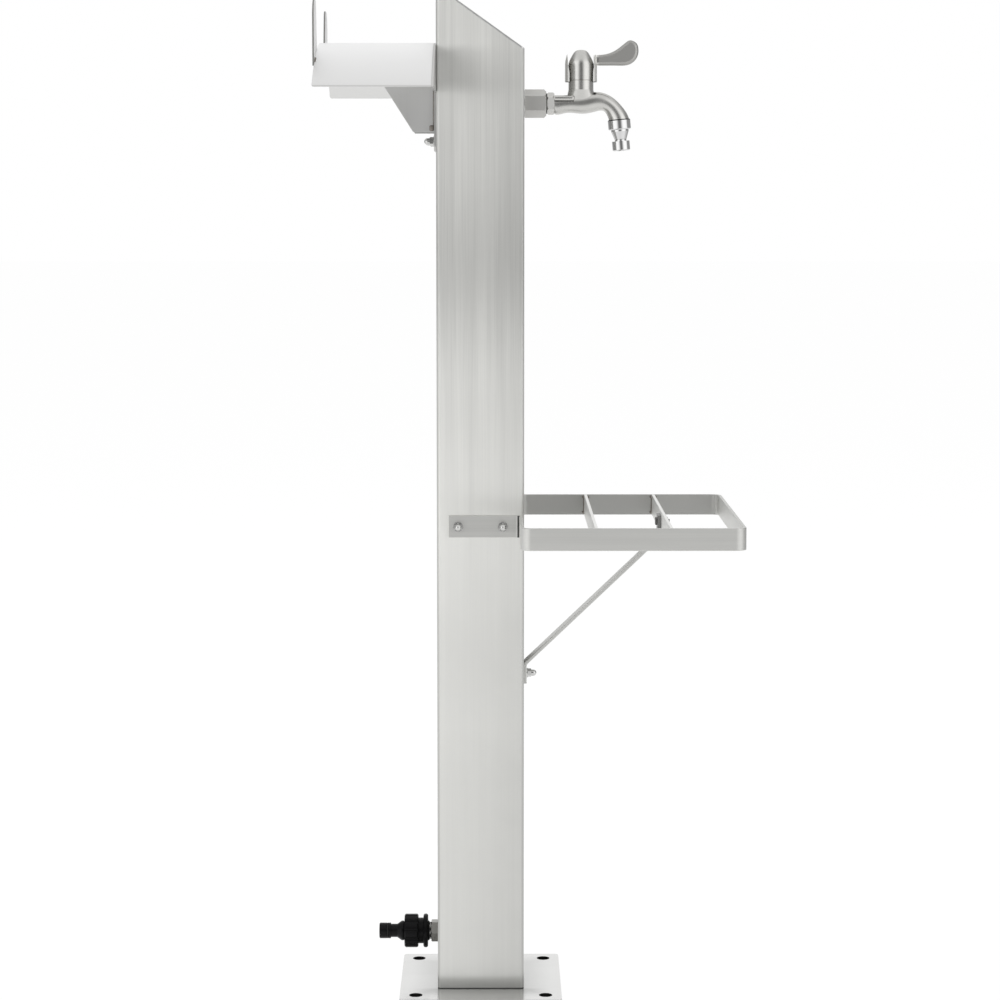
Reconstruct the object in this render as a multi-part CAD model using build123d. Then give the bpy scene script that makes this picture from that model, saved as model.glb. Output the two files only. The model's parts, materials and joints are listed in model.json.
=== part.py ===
from build123d import *
import math
import os

# Garden standpipe: a square steel column on a base plate, with a lever tap and a bar shelf on
# one side, and an arched hose saddle and a hose coupling on the other side.
# Millimetres. The origin is the centre of the base plate's underside and +Z is up.
# The tap and the shelf point along +X, the hose saddle and the coupling along -X.

# Shared fits and cuts
overrun = 2.0
bolt_clearance = 0.25
thread_clearance = 0.05
running_clearance = 0.08
moving_gap = 0.3

# Base plate
base_width = 150.0
base_thickness = 3.0
base_corner_radius = 4.0
base_edge_round = 0.5
anchor_edge_distance = 15.0
anchor_hole_radius = 6.0

# Column and its slanted cap
column_width = 80.0
column_wall = 1.5
column_corner_radius = 3.0
column_low_side = 866.5
top_slope = 35.4
cap_thickness = 1.5

# Studs, cap nuts and washers
stud_radius = 2.0
stud_engagement = 5.5
cap_nut_flats = 7.0
cap_nut_hex_height = 3.4
cap_nut_height = 8.3
cap_nut_dome_radius = 3.0
cap_nut_chamfer = 0.5
stud_end_gap = 0.7
washer_radius = 4.5
washer_thickness = 0.9

# Shelf frame and cross bars, all of one flat bar
bar_height = 20.0
bar_thickness = 3.0
bar_edge_round = 0.6
shelf_middle_height = 437.0
shelf_setback = 4.5
shelf_length = 200.0
shelf_width = 275.0
shelf_corner_radius = 8.5
ear_bend_radius = 4.5
ear_stud_spacing = 41.0
ear_margin = 8.5
cross_bar_offset = 67.0
cross_bar_pitch = 66.5

# Strut under the shelf
strut_bolt_height = 294.0
strut_foot_below_bolt = 8.6
strut_foot_above_bolt = 9.8
strut_head_above_screw = 6.2
strut_head_below_screw = 14.5
strut_bend_radius = 4.0
screw_head_radius = 3.8
screw_head_height = 2.0
screw_head_round = 0.9
screw_end_beyond_nut = 1.5
screw_nut_flats = 7.0
screw_nut_height = 3.2

# Hose saddle, its back plate and gussets
saddle_top_rise = 8.2
saddle_radius = 225.0
saddle_half_width = 135.0
saddle_depth = 104.0
saddle_sheet = 2.0
saddle_corner_radius = 1.8
back_plate_thickness = 2.0
back_tab_half_width = 32.0
back_tab_corner_radius = 5.0
back_tab_below_stud = 9.0
holder_stud_drop = 89.7
holder_stud_rise = 50.0
holder_stud_spacing = 36.0
gusset_thickness = 2.0
gusset_inset = 2.0
gusset_drop = 81.4
gusset_foot_length = 19.0
gusset_top_length = 71.0

# Stop ears at the saddle's outer end
ear_plate_thickness = 1.5
ear_setback = 37.5
ear_foot_width = 42.0
ear_top_width = 30.0
ear_rise = 34.3
ear_overlap = 3.0
ear_outer_round = 16.0
ear_inner_round = 8.0

# Tap socket through the column wall
tap_drop = 46.5
socket_flats = 22.5
socket_end = 20.4
socket_chamfer = 1.9
socket_spigot_radius = 8.2
socket_spigot_inside = 22.0
socket_bore_radius = 5.5
socket_thread_runout = 2.4
socket_washer_radius = 12.5
seal_thickness = 0.9
seal_radius = 9.3
lock_nut_flats = 22.0
lock_nut_thickness = 5.0
lock_washer_radius = 12.0
lock_washer_thickness = 1.2

# Tap body
tap_axis_reach = 52.3
tap_collar_flats = 17.6
tap_collar_length = 6.6
tap_collar_chamfer = 1.0
tap_thread_length = 10.5
tap_thread_radius = 8.2
tap_bore_radius = 5.0
barrel_radius = 8.6
neck_radius = 11.5
neck_top_rise = 21.0
neck_round_rise = 12.5
neck_foot_rise = 3.5
neck_foot_half_length = 13.4
neck_foot_half_width = 7.9
chamber_radius = 8.75
chamber_floor_rise = 8.0
seat_bore_radius = 5.6
spout_reach = 59.4
spout_drop = 14.4
spout_tilt = 5.0
spout_end_radius = 9.3
spout_thread_radius = 8.0
spout_thread_length = 6.0
spout_bore_radius = 4.5
spout_bend_radius = 15.0
spout_bore_sag = 0.5
barrel_overlap = 1.9
passage_radius = 2.6

# Along the barrel: shares of its run and of the spout's drop, turn in degrees, shares of its radius
barrel_section_shares = [
    (0.000, 0.014, 0.0, 0.86, 0.86),
    (0.196, 0.042, 0.0, 0.94, 0.94),
    (0.391, 0.028, 0.0, 1.01, 1.00),
    (0.604, -0.090, 0.0, 1.08, 1.02),
    (0.750, -0.111, -12.0, 0.95, 0.96),
    (0.886, 0.215, -45.0, 0.87, 0.93),
    (0.966, 0.660, -75.0, 1.01, 1.01),
]

# Tap cartridge, discs and spindle
cartridge_flange_radius = 9.9
cartridge_flange_height = 5.0
cartridge_fit = 0.1
cartridge_wall = 1.3
cartridge_window_width = 5.0
cartridge_guide_height = 4.0
disc_thickness = 2.4
disc_port_radius = 1.7
disc_port_offset = 3.6
spindle_radius = 3.9
spindle_flange_thickness = 2.0
spindle_square = 6.4
spindle_square_length = 9.0
spindle_tang_width = 2.5
spindle_tang_depth = 1.2
spindle_ring_section = 0.7
body_ring_section = 0.8

# Lever handle, its heights counted from the hub's underside
hub_core_radius = 11.6
hub_radius = 14.75
hub_shoulder_rise = 12.7
hub_crown_rise = 27.7
hub_cavity_radius = 10.4
hub_cavity_height = 8.0
hub_wing_drop = 1.6
hub_wing_half_width = 8.0
hub_wing_shoulder_rise = 14.2
hub_wing_tip_rise = 23.3
hub_wing_tip_inset = 1.9
hub_wing_groove = 0.9
lever_foot_rise = 13.3
lever_reach = 52.6
lever_height = 22.8
lever_width = 8.4
lever_edge_round = 3.2
set_screw_radius = 2.0
set_screw_length = 7.0
set_screw_rise = 10.7
set_screw_key_radius = 1.2

# Lever outline from the root's foot round the tip to the root's top: shares of reach and height
lever_outline_shares = [
    (0.221, 0.000),
    (0.432, 0.000),
    (0.603, 0.000),
    (0.745, 0.000),
    (0.850, 0.052),
    (0.925, 0.167),
    (0.983, 0.365),
    (1.000, 0.639),
    (0.975, 0.858),
    (0.911, 0.979),
    (0.838, 1.000),
    (0.785, 0.927),
    (0.717, 0.803),
    (0.589, 0.590),
    (0.451, 0.464),
    (0.221, 0.416),
]

# Shares of the hub core's radius and of its crown's rise
hub_flank_shares = (0.80, 0.53)
hub_brow_shares = (0.52, 0.87)

# Hose nozzle under the spout
nozzle_collar_radius = 10.45
nozzle_collar_length = 9.4
nozzle_collar_chamfer = 0.8
nozzle_cone_radius = 8.15
nozzle_cone_straight = 1.6
nozzle_cone_length = 9.2
nozzle_groove_radius = 5.4
nozzle_groove_length = 1.3
nozzle_end_length = 8.8
nozzle_end_chamfer = 0.9
nozzle_bore_radius = 4.0
nozzle_washer_thickness = 1.2

# Inlet nipple low on the column
inlet_height = 47.3
inlet_hex_flats = 18.5
inlet_hex_length = 6.7
inlet_hex_chamfer = 0.7
inlet_thread_radius = 7.4
inlet_thread_length = 9.5
inlet_spigot_radius = 8.2
inlet_spigot_inside = 20.0
inlet_bore_radius = 5.0

# Hose coupling
adapter_gap = 1.9
adapter_start_radius = 8.9
adapter_hub_radius = 9.5
adapter_hub_length = 1.4
flange_thickness = 4.2
flange_radius = 15.7
flange_edge_round = 1.0
adapter_neck_radius = 12.0
adapter_neck_length = 4.9
coupling_nut_length = 12.9
coupling_nut_radius = 15.75
coupling_nut_chamfer = 1.1
coupling_nut_lip = 2.0
coupling_rib_count = 12
coupling_rib_depth = 0.9
coupling_rib_gap = 2.6
coupling_thread_radius = 13.1
coupling_washer_thickness = 2.0
tail_shoulder_thickness = 2.4
tail_shoulder_radius = 12.4
tail_body_radius = 8.4
tail_bulge_gap = 1.0
tail_bulge_length = 1.8
tail_bulge_radius = 9.2
tail_cone_length = 4.2
tail_neck_radius = 6.2
tail_neck_length = 6.1
tail_end_length = 10.7
tail_end_radius = 7.3
tail_end_chamfer = 0.7
tail_bore_radius = 4.2
tail_ring_setback = 1.9
tail_ring_section = 0.9

# Supply hose and elbows inside the column
elbow_radius = 9.6
elbow_bore_radius = 5.0
inlet_elbow_setback = 26.0
outlet_elbow_setback = 32.0
elbow_leg_length = 26.0
elbow_spigot_radius = 6.6
elbow_spigot_length = 8.0
hose_nut_flats = 18.0
hose_nut_height = 12.0
hose_nut_collar = 2.0
ferrule_radius = 8.0
ferrule_length = 20.0
ferrule_crimp_depth = 0.5
ferrule_crimp_width = 2.2
ferrule_crimp_count = 3
hose_radius = 6.2
hose_bore_radius = 4.2
hose_bend_shares = (0.30, 0.67)

# Places that several pieces share
column_low_top = base_thickness + column_low_side
tap_height = column_low_top - tap_drop
saddle_top_height = column_low_top + saddle_top_rise
holder_stud_height = saddle_top_height - holder_stud_drop
gusset_foot_height = saddle_top_height - gusset_drop
gusset_middle = back_tab_half_width - gusset_inset
column_face = column_width / 2
column_inner_face = column_face - column_wall
slope_rise = math.tan(math.radians(top_slope))
column_mean_height = column_low_top + column_face * slope_rise
cap_rise = cap_thickness / math.cos(math.radians(top_slope))
shelf_start = column_face - shelf_setback
shelf_end = shelf_start + shelf_length
first_bar_middle = shelf_start + cross_bar_offset
second_bar_middle = first_bar_middle + cross_bar_pitch
strut_head_face = second_bar_middle - bar_thickness / 2
back_plate_face = -column_face - back_plate_thickness
saddle_end = back_plate_face - saddle_depth
saddle_centre_height = saddle_top_height - saddle_radius
saddle_foot_height = saddle_centre_height + math.sqrt(saddle_radius**2 - saddle_half_width**2)
socket_start = column_face + washer_thickness
socket_face = column_face + socket_end
tap_face = socket_face + seal_thickness
tap_axis = column_face + tap_axis_reach
tap_foot = tap_face + tap_collar_length
neck_top = tap_height + neck_top_rise
hub_bottom = neck_top + moving_gap
spout_direction = (math.sin(math.radians(spout_tilt)), 0, -math.cos(math.radians(spout_tilt)))
spout_end = (tap_foot + spout_reach, 0, tap_height - spout_drop)
cartridge_radius = chamber_radius - cartridge_fit
cartridge_inner_radius = cartridge_radius - cartridge_wall
disc_radius = cartridge_inner_radius - running_clearance
fixed_disc_height = tap_height + chamber_floor_rise
moving_disc_height = fixed_disc_height + disc_thickness
spindle_foot_height = moving_disc_height + disc_thickness
spindle_flange_top = spindle_foot_height + spindle_flange_thickness
cartridge_top = neck_top + cartridge_flange_height
spindle_square_start = cartridge_top + moving_gap
spindle_top = spindle_square_start + spindle_square_length
lever_foot_height = hub_bottom + lever_foot_rise
set_screw_height = hub_bottom + set_screw_rise
adapter_start = inlet_hex_length + adapter_gap
flange_start = adapter_start + adapter_hub_length
flange_end = flange_start + flange_thickness
coupling_nut_start = flange_end + adapter_neck_length
coupling_nut_end = coupling_nut_start + coupling_nut_length
coupling_lip_start = coupling_nut_end - coupling_nut_lip
tail_bulge_start = coupling_nut_end + tail_bulge_gap
tail_bulge_end = tail_bulge_start + tail_bulge_length
tail_neck_start = tail_bulge_end + tail_cone_length
tail_end_start = tail_neck_start + tail_neck_length
tail_end = tail_end_start + tail_end_length
tail_ring_start = tail_end_start + tail_ring_setback
shoulder_start = coupling_lip_start - tail_shoulder_thickness
coupling_washer_start = shoulder_start - coupling_washer_thickness
coupling_nut_bore = coupling_thread_radius + running_clearance
tail_hole_radius = tail_body_radius + running_clearance
inlet_elbow_x = -column_inner_face + inlet_elbow_setback
outlet_elbow_x = column_inner_face - outlet_elbow_setback
inlet_leg_end = (inlet_elbow_x, 0, inlet_height + elbow_leg_length)
outlet_leg_end = (outlet_elbow_x, 0, tap_height - elbow_leg_length)
to_left = (-1, 0, 0)
to_right = (1, 0, 0)
to_front = (0, -1, 0)
to_back = (0, 1, 0)
up = (0, 0, 1)
down = (0, 0, -1)


# Point at a distance from a start along a direction
def along(start, direction, distance):
    return tuple(place + step * distance for place, step in zip(start, direction))


# Round bar from a start along a direction
def rod(radius, start, direction, length):
    seat = Plane(origin=start, z_dir=direction)
    return seat * Cylinder(radius, length, align=(Align.CENTER, Align.CENTER, Align.MIN))


# Round sleeve from a start along a direction
def sleeve(outer_radius, inner_radius, start, direction, length):
    hole_start = along(start, direction, -overrun)
    hole = rod(inner_radius, hole_start, direction, length + 2 * overrun)
    return rod(outer_radius, start, direction, length) - hole


# Hexagonal bar, one corner pointing along corner_direction
def hex_bar(flats, start, direction, length, corner_direction):
    seat = Plane(origin=start, x_dir=corner_direction, z_dir=direction)
    outline = seat * RegularPolygon(flats / 2, 6, major_radius=False)
    return extrude(outline, amount=length)


# Turned piece from an outline of radius and distance along the axis
def turned(outline, start, direction):
    line = Polyline([(radius, 0, distance) for radius, distance in outline], close=True)
    return Plane(origin=start, z_dir=direction) * revolve(make_face(line), axis=Axis.Z)


# Turned blank that takes the corners off a hexagonal bar at both ends or at one
def corner_blank(flats, start, direction, length, chamfer_size, first_end, last_end):
    full = flats / math.sqrt(3)
    first_cut = chamfer_size if first_end else 0
    last_cut = chamfer_size if last_end else 0
    outline = [
        (0, 0),
        (full - first_cut, 0),
        (full, first_cut),
        (full, length - last_cut),
        (full - last_cut, length),
        (0, length),
    ]
    points = []
    for point in outline:
        if point not in points:
            points.append(point)
    return turned(points, start, direction)


# Block between two corners
def block(low, high):
    size = [top - bottom for bottom, top in zip(low, high)]
    middle = [(top + bottom) / 2 for bottom, top in zip(low, high)]
    return Pos(*middle) * Box(*size)


# Plate cut from an outline in the plane across X, from one X to a higher one
def plate_across_x(points, start, end):
    line = Polyline([(start, across, height) for across, height in points], close=True)
    return extrude(make_face(line), amount=end - start, dir=to_right)


# Height of one of the saddle's curves at a distance across
def arch_height(radius, across):
    return saddle_centre_height + math.sqrt(radius**2 - across**2)


def base_plate():
    outline = RectangleRounded(base_width, base_width, base_corner_radius)
    plate = extrude(outline, amount=base_thickness)
    plate = fillet(plate.faces().sort_by(Axis.Z)[-1].edges(), base_edge_round)
    reach = base_width / 2 - anchor_edge_distance
    for x in (-reach, reach):
        for y in (-reach, reach):
            plate -= rod(anchor_hole_radius, (x, y, -overrun), up, base_thickness + 2 * overrun)
    return plate


# Plane of the column's slanted top, raised squarely to the slope
def slope_plane(rise):
    origin = (0, 0, column_mean_height + rise)
    return Plane(origin=origin, x_dir=(0, 1, 0), z_dir=(slope_rise, 0, 1))


# Everything above the slanted plane, wide enough for the column
def above_slope(rise):
    reach = 3 * column_width
    return extrude(slope_plane(rise) * Rectangle(reach, reach), amount=reach)


def column_prism(width, corner_radius):
    foot = Plane(origin=(0, 0, base_thickness)) * RectangleRounded(width, width, corner_radius)
    return extrude(foot, amount=column_low_side + column_width * slope_rise + cap_rise + overrun)


def column_tube():
    inner_width = column_width - 2 * column_wall
    tube = column_prism(column_width, column_corner_radius)
    tube -= column_prism(inner_width, column_corner_radius - column_wall)
    tube -= above_slope(0)
    wall_cut = column_wall + 2 * overrun
    socket_hole = socket_spigot_radius + bolt_clearance
    inlet_hole = inlet_spigot_radius + bolt_clearance
    tube -= rod(socket_hole, (column_face + overrun, 0, tap_height), to_left, wall_cut)
    tube -= rod(inlet_hole, (-column_face - overrun, 0, inlet_height), to_right, wall_cut)
    return tube


def column_cap():
    cap = column_prism(column_width, column_corner_radius) & above_slope(0)
    return cap - above_slope(cap_rise)


# Studs on the column: foot on the wall, outward direction, and thickness of what each holds
def stud_places():
    places = []
    for x in (-ear_stud_spacing / 2, ear_stud_spacing / 2):
        places.append(((x, -column_face, shelf_middle_height), to_front, bar_thickness))
        places.append(((x, column_face, shelf_middle_height), to_back, bar_thickness))
    places.append(((column_face, 0, strut_bolt_height), to_right, bar_thickness))
    for y in (-holder_stud_spacing / 2, holder_stud_spacing / 2):
        for rise in (0, holder_stud_rise):
            foot = (-column_face, y, holder_stud_height + rise)
            places.append((foot, to_left, back_plate_thickness))
    return places


def weld_studs():
    studs = []
    for foot, direction, held in stud_places():
        length = held + washer_thickness + stud_engagement
        studs.append(rod(stud_radius, foot, direction, length))
    return Compound(children=studs)


def stud_washers():
    washers = []
    for foot, direction, held in stud_places():
        seat = along(foot, direction, held)
        hole_radius = stud_radius + bolt_clearance
        washers.append(sleeve(washer_radius, hole_radius, seat, direction, washer_thickness))
    return Compound(children=washers)


# Cap nut with a hexagonal foot, a domed top and a blind thread
def cap_nut(seat, direction):
    corner = up if abs(direction[2]) < abs(direction[0]) + abs(direction[1]) else to_right
    foot = hex_bar(cap_nut_flats, seat, direction, cap_nut_hex_height, corner)
    foot &= corner_blank(
        cap_nut_flats, seat, direction, cap_nut_hex_height, cap_nut_chamfer, False, True
    )
    dome_straight = cap_nut_height - cap_nut_dome_radius
    dome_foot = along(seat, direction, dome_straight)
    body = rod(cap_nut_dome_radius, seat, direction, dome_straight)
    dome = Pos(*dome_foot) * Sphere(cap_nut_dome_radius)
    thread = stud_radius + thread_clearance
    bore_depth = stud_engagement + stud_end_gap
    bore = rod(thread, along(seat, direction, -overrun), direction, bore_depth + overrun)
    return foot + body + dome - bore


def cap_nuts():
    nuts = []
    for foot, direction, held in stud_places():
        nuts.append(cap_nut(along(foot, direction, held + washer_thickness), direction))
    return Compound(children=nuts)


# Flat bar bent along a path of points in one plane
def bent_bar(points, radii, across):
    path = FilletPolyline(*points, radius=radii)
    first_run = Vector(*points[1]) - Vector(*points[0])
    seat = Plane(origin=points[0], x_dir=across, z_dir=first_run)
    section = seat * RectangleRounded(bar_height, bar_thickness, bar_edge_round)
    return sweep(section, path=path)


def shelf_frame():
    ear_middle = column_face + bar_thickness / 2
    side_middle = shelf_width / 2 - bar_thickness / 2
    near_middle = shelf_start + bar_thickness / 2
    far_middle = shelf_end - bar_thickness / 2
    ear_end = -ear_stud_spacing / 2 - ear_margin
    height = shelf_middle_height
    points = [
        (ear_end, -ear_middle, height),
        (near_middle, -ear_middle, height),
        (near_middle, -side_middle, height),
        (far_middle, -side_middle, height),
        (far_middle, side_middle, height),
        (near_middle, side_middle, height),
        (near_middle, ear_middle, height),
        (ear_end, ear_middle, height),
    ]
    radii = [ear_bend_radius] + 4 * [shelf_corner_radius] + [ear_bend_radius]
    frame = bent_bar(points, radii, up)
    hole_radius = stud_radius + bolt_clearance
    hole_length = bar_thickness + 2 * overrun
    for foot, direction, held in stud_places():
        if direction in (to_front, to_back):
            frame -= rod(hole_radius, along(foot, direction, -overrun), direction, hole_length)
    return frame


def cross_bar(middle):
    half_length = shelf_width / 2 - bar_thickness
    low = (middle - bar_thickness / 2, -half_length, shelf_middle_height - bar_height / 2)
    high = (middle + bar_thickness / 2, half_length, shelf_middle_height + bar_height / 2)
    bar = block(low, high)
    return fillet(bar.edges().filter_by(Axis.Y), bar_edge_round)


def shelf_bar_inner():
    return cross_bar(first_bar_middle)


def shelf_bar_outer():
    return cross_bar(second_bar_middle) - strut_screw_hole()


def strut_screw_hole():
    start = (strut_head_face - bar_thickness - overrun, 0, shelf_middle_height)
    length = 2 * bar_thickness + 2 * overrun
    return rod(stud_radius + bolt_clearance, start, to_right, length)


def shelf_strut():
    foot_middle = column_face + bar_thickness / 2
    head_middle = strut_head_face - bar_thickness / 2
    points = [
        (foot_middle, 0, strut_bolt_height - strut_foot_below_bolt),
        (foot_middle, 0, strut_bolt_height + strut_foot_above_bolt),
        (head_middle, 0, shelf_middle_height - strut_head_below_screw),
        (head_middle, 0, shelf_middle_height + strut_head_above_screw),
    ]
    strut = bent_bar(points, strut_bend_radius, to_back)
    hole_start = (column_face - overrun, 0, strut_bolt_height)
    hole_length = bar_thickness + 2 * overrun
    strut -= rod(stud_radius + bolt_clearance, hole_start, to_right, hole_length)
    return strut - strut_screw_hole()


def strut_screw():
    head_seat = (strut_head_face - bar_thickness, 0, shelf_middle_height)
    head = rod(screw_head_radius, head_seat, to_left, screw_head_height)
    head = fillet(head.faces().sort_by(Axis.X)[0].edges(), screw_head_round)
    length = 2 * bar_thickness + washer_thickness + screw_nut_height + screw_end_beyond_nut
    return head + rod(stud_radius, head_seat, to_right, length)


def strut_screw_washer():
    seat = (strut_head_face + bar_thickness, 0, shelf_middle_height)
    hole_radius = stud_radius + bolt_clearance
    return sleeve(washer_radius, hole_radius, seat, to_right, washer_thickness)


def strut_screw_nut():
    seat = (strut_head_face + bar_thickness + washer_thickness, 0, shelf_middle_height)
    nut = hex_bar(screw_nut_flats, seat, to_right, screw_nut_height, up)
    nut &= corner_blank(screw_nut_flats, seat, to_right, screw_nut_height, cap_nut_chamfer, False, True)
    thread = stud_radius + thread_clearance
    return nut - rod(thread, along(seat, to_left, overrun), to_right, screw_nut_height + 2 * overrun)


# Solid bounded by the saddle's curve, between two X
def arch_drum(radius, start, end):
    return rod(radius, (start, 0, saddle_centre_height), to_right, end - start)


def saddle_sheet_plate():
    sheet = arch_drum(saddle_radius, saddle_end, back_plate_face)
    sheet -= arch_drum(saddle_radius - saddle_sheet, saddle_end - overrun, back_plate_face + overrun)
    keep_low = (saddle_end, -saddle_radius, saddle_foot_height)
    keep_high = (back_plate_face, saddle_radius, saddle_top_height + overrun)
    keep = block(keep_low, keep_high)
    outer_edge = keep.edges().filter_by(Axis.Y).group_by(Axis.Z)[0].sort_by(Axis.X)[0]
    return sheet & fillet(outer_edge, saddle_corner_radius)


def saddle_back_plate():
    plate = arch_drum(saddle_radius, back_plate_face, -column_face)
    wing_low = (back_plate_face, -saddle_half_width, saddle_foot_height)
    wing_high = (-column_face, saddle_half_width, saddle_top_height + overrun)
    plate &= block(wing_low, wing_high)
    tab_foot = holder_stud_height - back_tab_below_stud
    tab_low = (back_plate_face, -back_tab_half_width, tab_foot)
    tab_high = (-column_face, back_tab_half_width, saddle_foot_height + back_plate_thickness)
    tab = block(tab_low, tab_high)
    feet = [edge for edge in tab.edges().filter_by(Axis.X) if edge.center().Z < saddle_foot_height]
    plate += fillet(feet, back_tab_corner_radius)
    hole_length = back_plate_thickness + 2 * overrun
    for foot, direction, held in stud_places():
        if direction == to_left:
            start = along(foot, direction, -overrun)
            plate -= rod(stud_radius + bolt_clearance, start, direction, hole_length)
    return plate


# Gusset under the saddle, its top following the inside of the sheet
def saddle_gusset(middle):
    low_side = middle - gusset_thickness / 2
    crown = saddle_top_height
    outline = [
        (back_plate_face, low_side, gusset_foot_height),
        (back_plate_face - gusset_foot_length, low_side, gusset_foot_height),
        (back_plate_face - gusset_top_length, low_side, crown),
        (back_plate_face, low_side, crown),
    ]
    face = make_face(Polyline(outline, close=True))
    plate = extrude(face, amount=gusset_thickness, dir=to_back)
    start = back_plate_face - gusset_top_length - overrun
    return plate & arch_drum(saddle_radius - saddle_sheet, start, back_plate_face + overrun)


def saddle_gusset_front():
    return saddle_gusset(-gusset_middle)


def saddle_gusset_back():
    return saddle_gusset(gusset_middle)


# Upright ear on the saddle's outer edge, on the side given by +1 or -1
def stop_ear(side):
    outer = saddle_half_width - ear_setback
    inner_foot = outer - ear_foot_width
    inner_top = outer - ear_top_width
    top = saddle_top_height + ear_rise
    outline = [
        (side * inner_foot, arch_height(saddle_radius, inner_foot) - ear_overlap),
        (side * outer, arch_height(saddle_radius, outer) - ear_overlap),
        (side * outer, top),
        (side * inner_top, top),
    ]
    plate = plate_across_x(outline, saddle_end - ear_plate_thickness, saddle_end)
    inner_edge = plate.edges().filter_by(Axis.X).group_by(Axis.Z)[-1].sort_by(Axis.Y)
    plate = fillet(inner_edge[0 if side > 0 else -1], ear_inner_round)
    outer_edge = plate.edges().filter_by(Axis.X).group_by(Axis.Z)[-1].sort_by(Axis.Y)
    return fillet(outer_edge[-1 if side > 0 else 0], ear_outer_round)


def stop_ear_front():
    return stop_ear(-1)


def stop_ear_back():
    return stop_ear(1)


def socket_washer():
    hole_radius = socket_spigot_radius + bolt_clearance
    start = (column_face, 0, tap_height)
    return sleeve(socket_washer_radius, hole_radius, start, to_right, washer_thickness)


def tap_socket():
    start = (socket_start, 0, tap_height)
    length = socket_face - socket_start
    socket = hex_bar(socket_flats, start, to_right, length, up)
    socket &= corner_blank(socket_flats, start, to_right, length, socket_chamfer, False, True)
    spigot_length = washer_thickness + column_wall + socket_spigot_inside
    socket += rod(socket_spigot_radius, start, to_left, spigot_length)
    inner_end = (socket_start - spigot_length - overrun, 0, tap_height)
    socket -= rod(socket_bore_radius, inner_end, to_right, spigot_length + length + 2 * overrun)
    thread = tap_thread_radius + thread_clearance
    mouth = (socket_face + overrun, 0, tap_height)
    thread_depth = tap_thread_length - seal_thickness + socket_thread_runout
    return socket - rod(thread, mouth, to_left, thread_depth + overrun)


def tap_seal():
    hole_radius = tap_thread_radius + thread_clearance
    start = (socket_face, 0, tap_height)
    return sleeve(seal_radius, hole_radius, start, to_right, seal_thickness)


# Washer and lock nut on a spigot inside the column
def lock_washer(spigot_radius, wall_point, inward):
    hole_radius = spigot_radius + bolt_clearance
    return sleeve(lock_washer_radius, hole_radius, wall_point, inward, lock_washer_thickness)


def lock_nut(spigot_radius, wall_point, inward):
    start = along(wall_point, inward, lock_washer_thickness)
    nut = hex_bar(lock_nut_flats, start, inward, lock_nut_thickness, up)
    hole_start = along(start, inward, -overrun)
    hole_length = lock_nut_thickness + 2 * overrun
    return nut - rod(spigot_radius + thread_clearance, hole_start, inward, hole_length)


def socket_lock_washer():
    return lock_washer(socket_spigot_radius, (column_inner_face, 0, tap_height), to_left)


def socket_lock_nut():
    return lock_nut(socket_spigot_radius, (column_inner_face, 0, tap_height), to_left)


def inlet_lock_washer():
    return lock_washer(inlet_spigot_radius, (-column_inner_face, 0, inlet_height), to_right)


def inlet_lock_nut():
    return lock_nut(inlet_spigot_radius, (-column_inner_face, 0, inlet_height), to_right)


# Oval section of the tap's barrel and spout
def barrel_section(centre, turn, radius, half_width):
    angle = math.radians(turn)
    direction = (math.cos(angle), 0, math.sin(angle))
    upright = (-math.sin(angle), 0, math.cos(angle))
    return Plane(origin=centre, x_dir=upright, z_dir=direction) * Ellipse(radius, half_width)


def barrel_and_spout():
    sections = []
    start = tap_foot - barrel_overlap
    run = spout_end[0] - start
    for x_share, z_share, turn, radius_share, width_share in barrel_section_shares:
        centre = (start + x_share * run, 0, tap_height - z_share * spout_drop)
        radius = radius_share * barrel_radius
        half_width = width_share * barrel_radius
        sections.append(barrel_section(centre, turn, radius, half_width))
    sections.append(barrel_section(spout_end, spout_tilt - 90, spout_end_radius, spout_end_radius))
    return loft(sections)


# Neck above the barrel: oval where it leaves the barrel, round at the top
def tap_neck():
    foot_plane = Plane(origin=(tap_axis, 0, tap_height + neck_foot_rise))
    round_plane = Plane(origin=(tap_axis, 0, tap_height + neck_round_rise))
    foot = foot_plane * Ellipse(neck_foot_half_length, neck_foot_half_width)
    waist = round_plane * Ellipse(neck_radius, neck_radius)
    top_length = neck_top_rise - neck_round_rise
    return loft([foot, waist]) + rod(neck_radius, round_plane.origin.to_tuple(), up, top_length)


# Waterway from beside the chamber, through the bend and down to the spout's end
def spout_bore():
    bore_height = tap_height - spout_bore_sag
    rise = bore_height - spout_end[2]
    bend = (spout_end[0] - rise * math.tan(math.radians(spout_tilt)), 0, bore_height)
    first = (tap_axis + chamber_radius, 0, bore_height)
    last = along(spout_end, spout_direction, spout_thread_length + overrun)
    path = FilletPolyline(first, bend, last, radius=spout_bend_radius)
    seat = Plane(origin=first, z_dir=to_right)
    return sweep(seat * Circle(spout_bore_radius), path=path)


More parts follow.
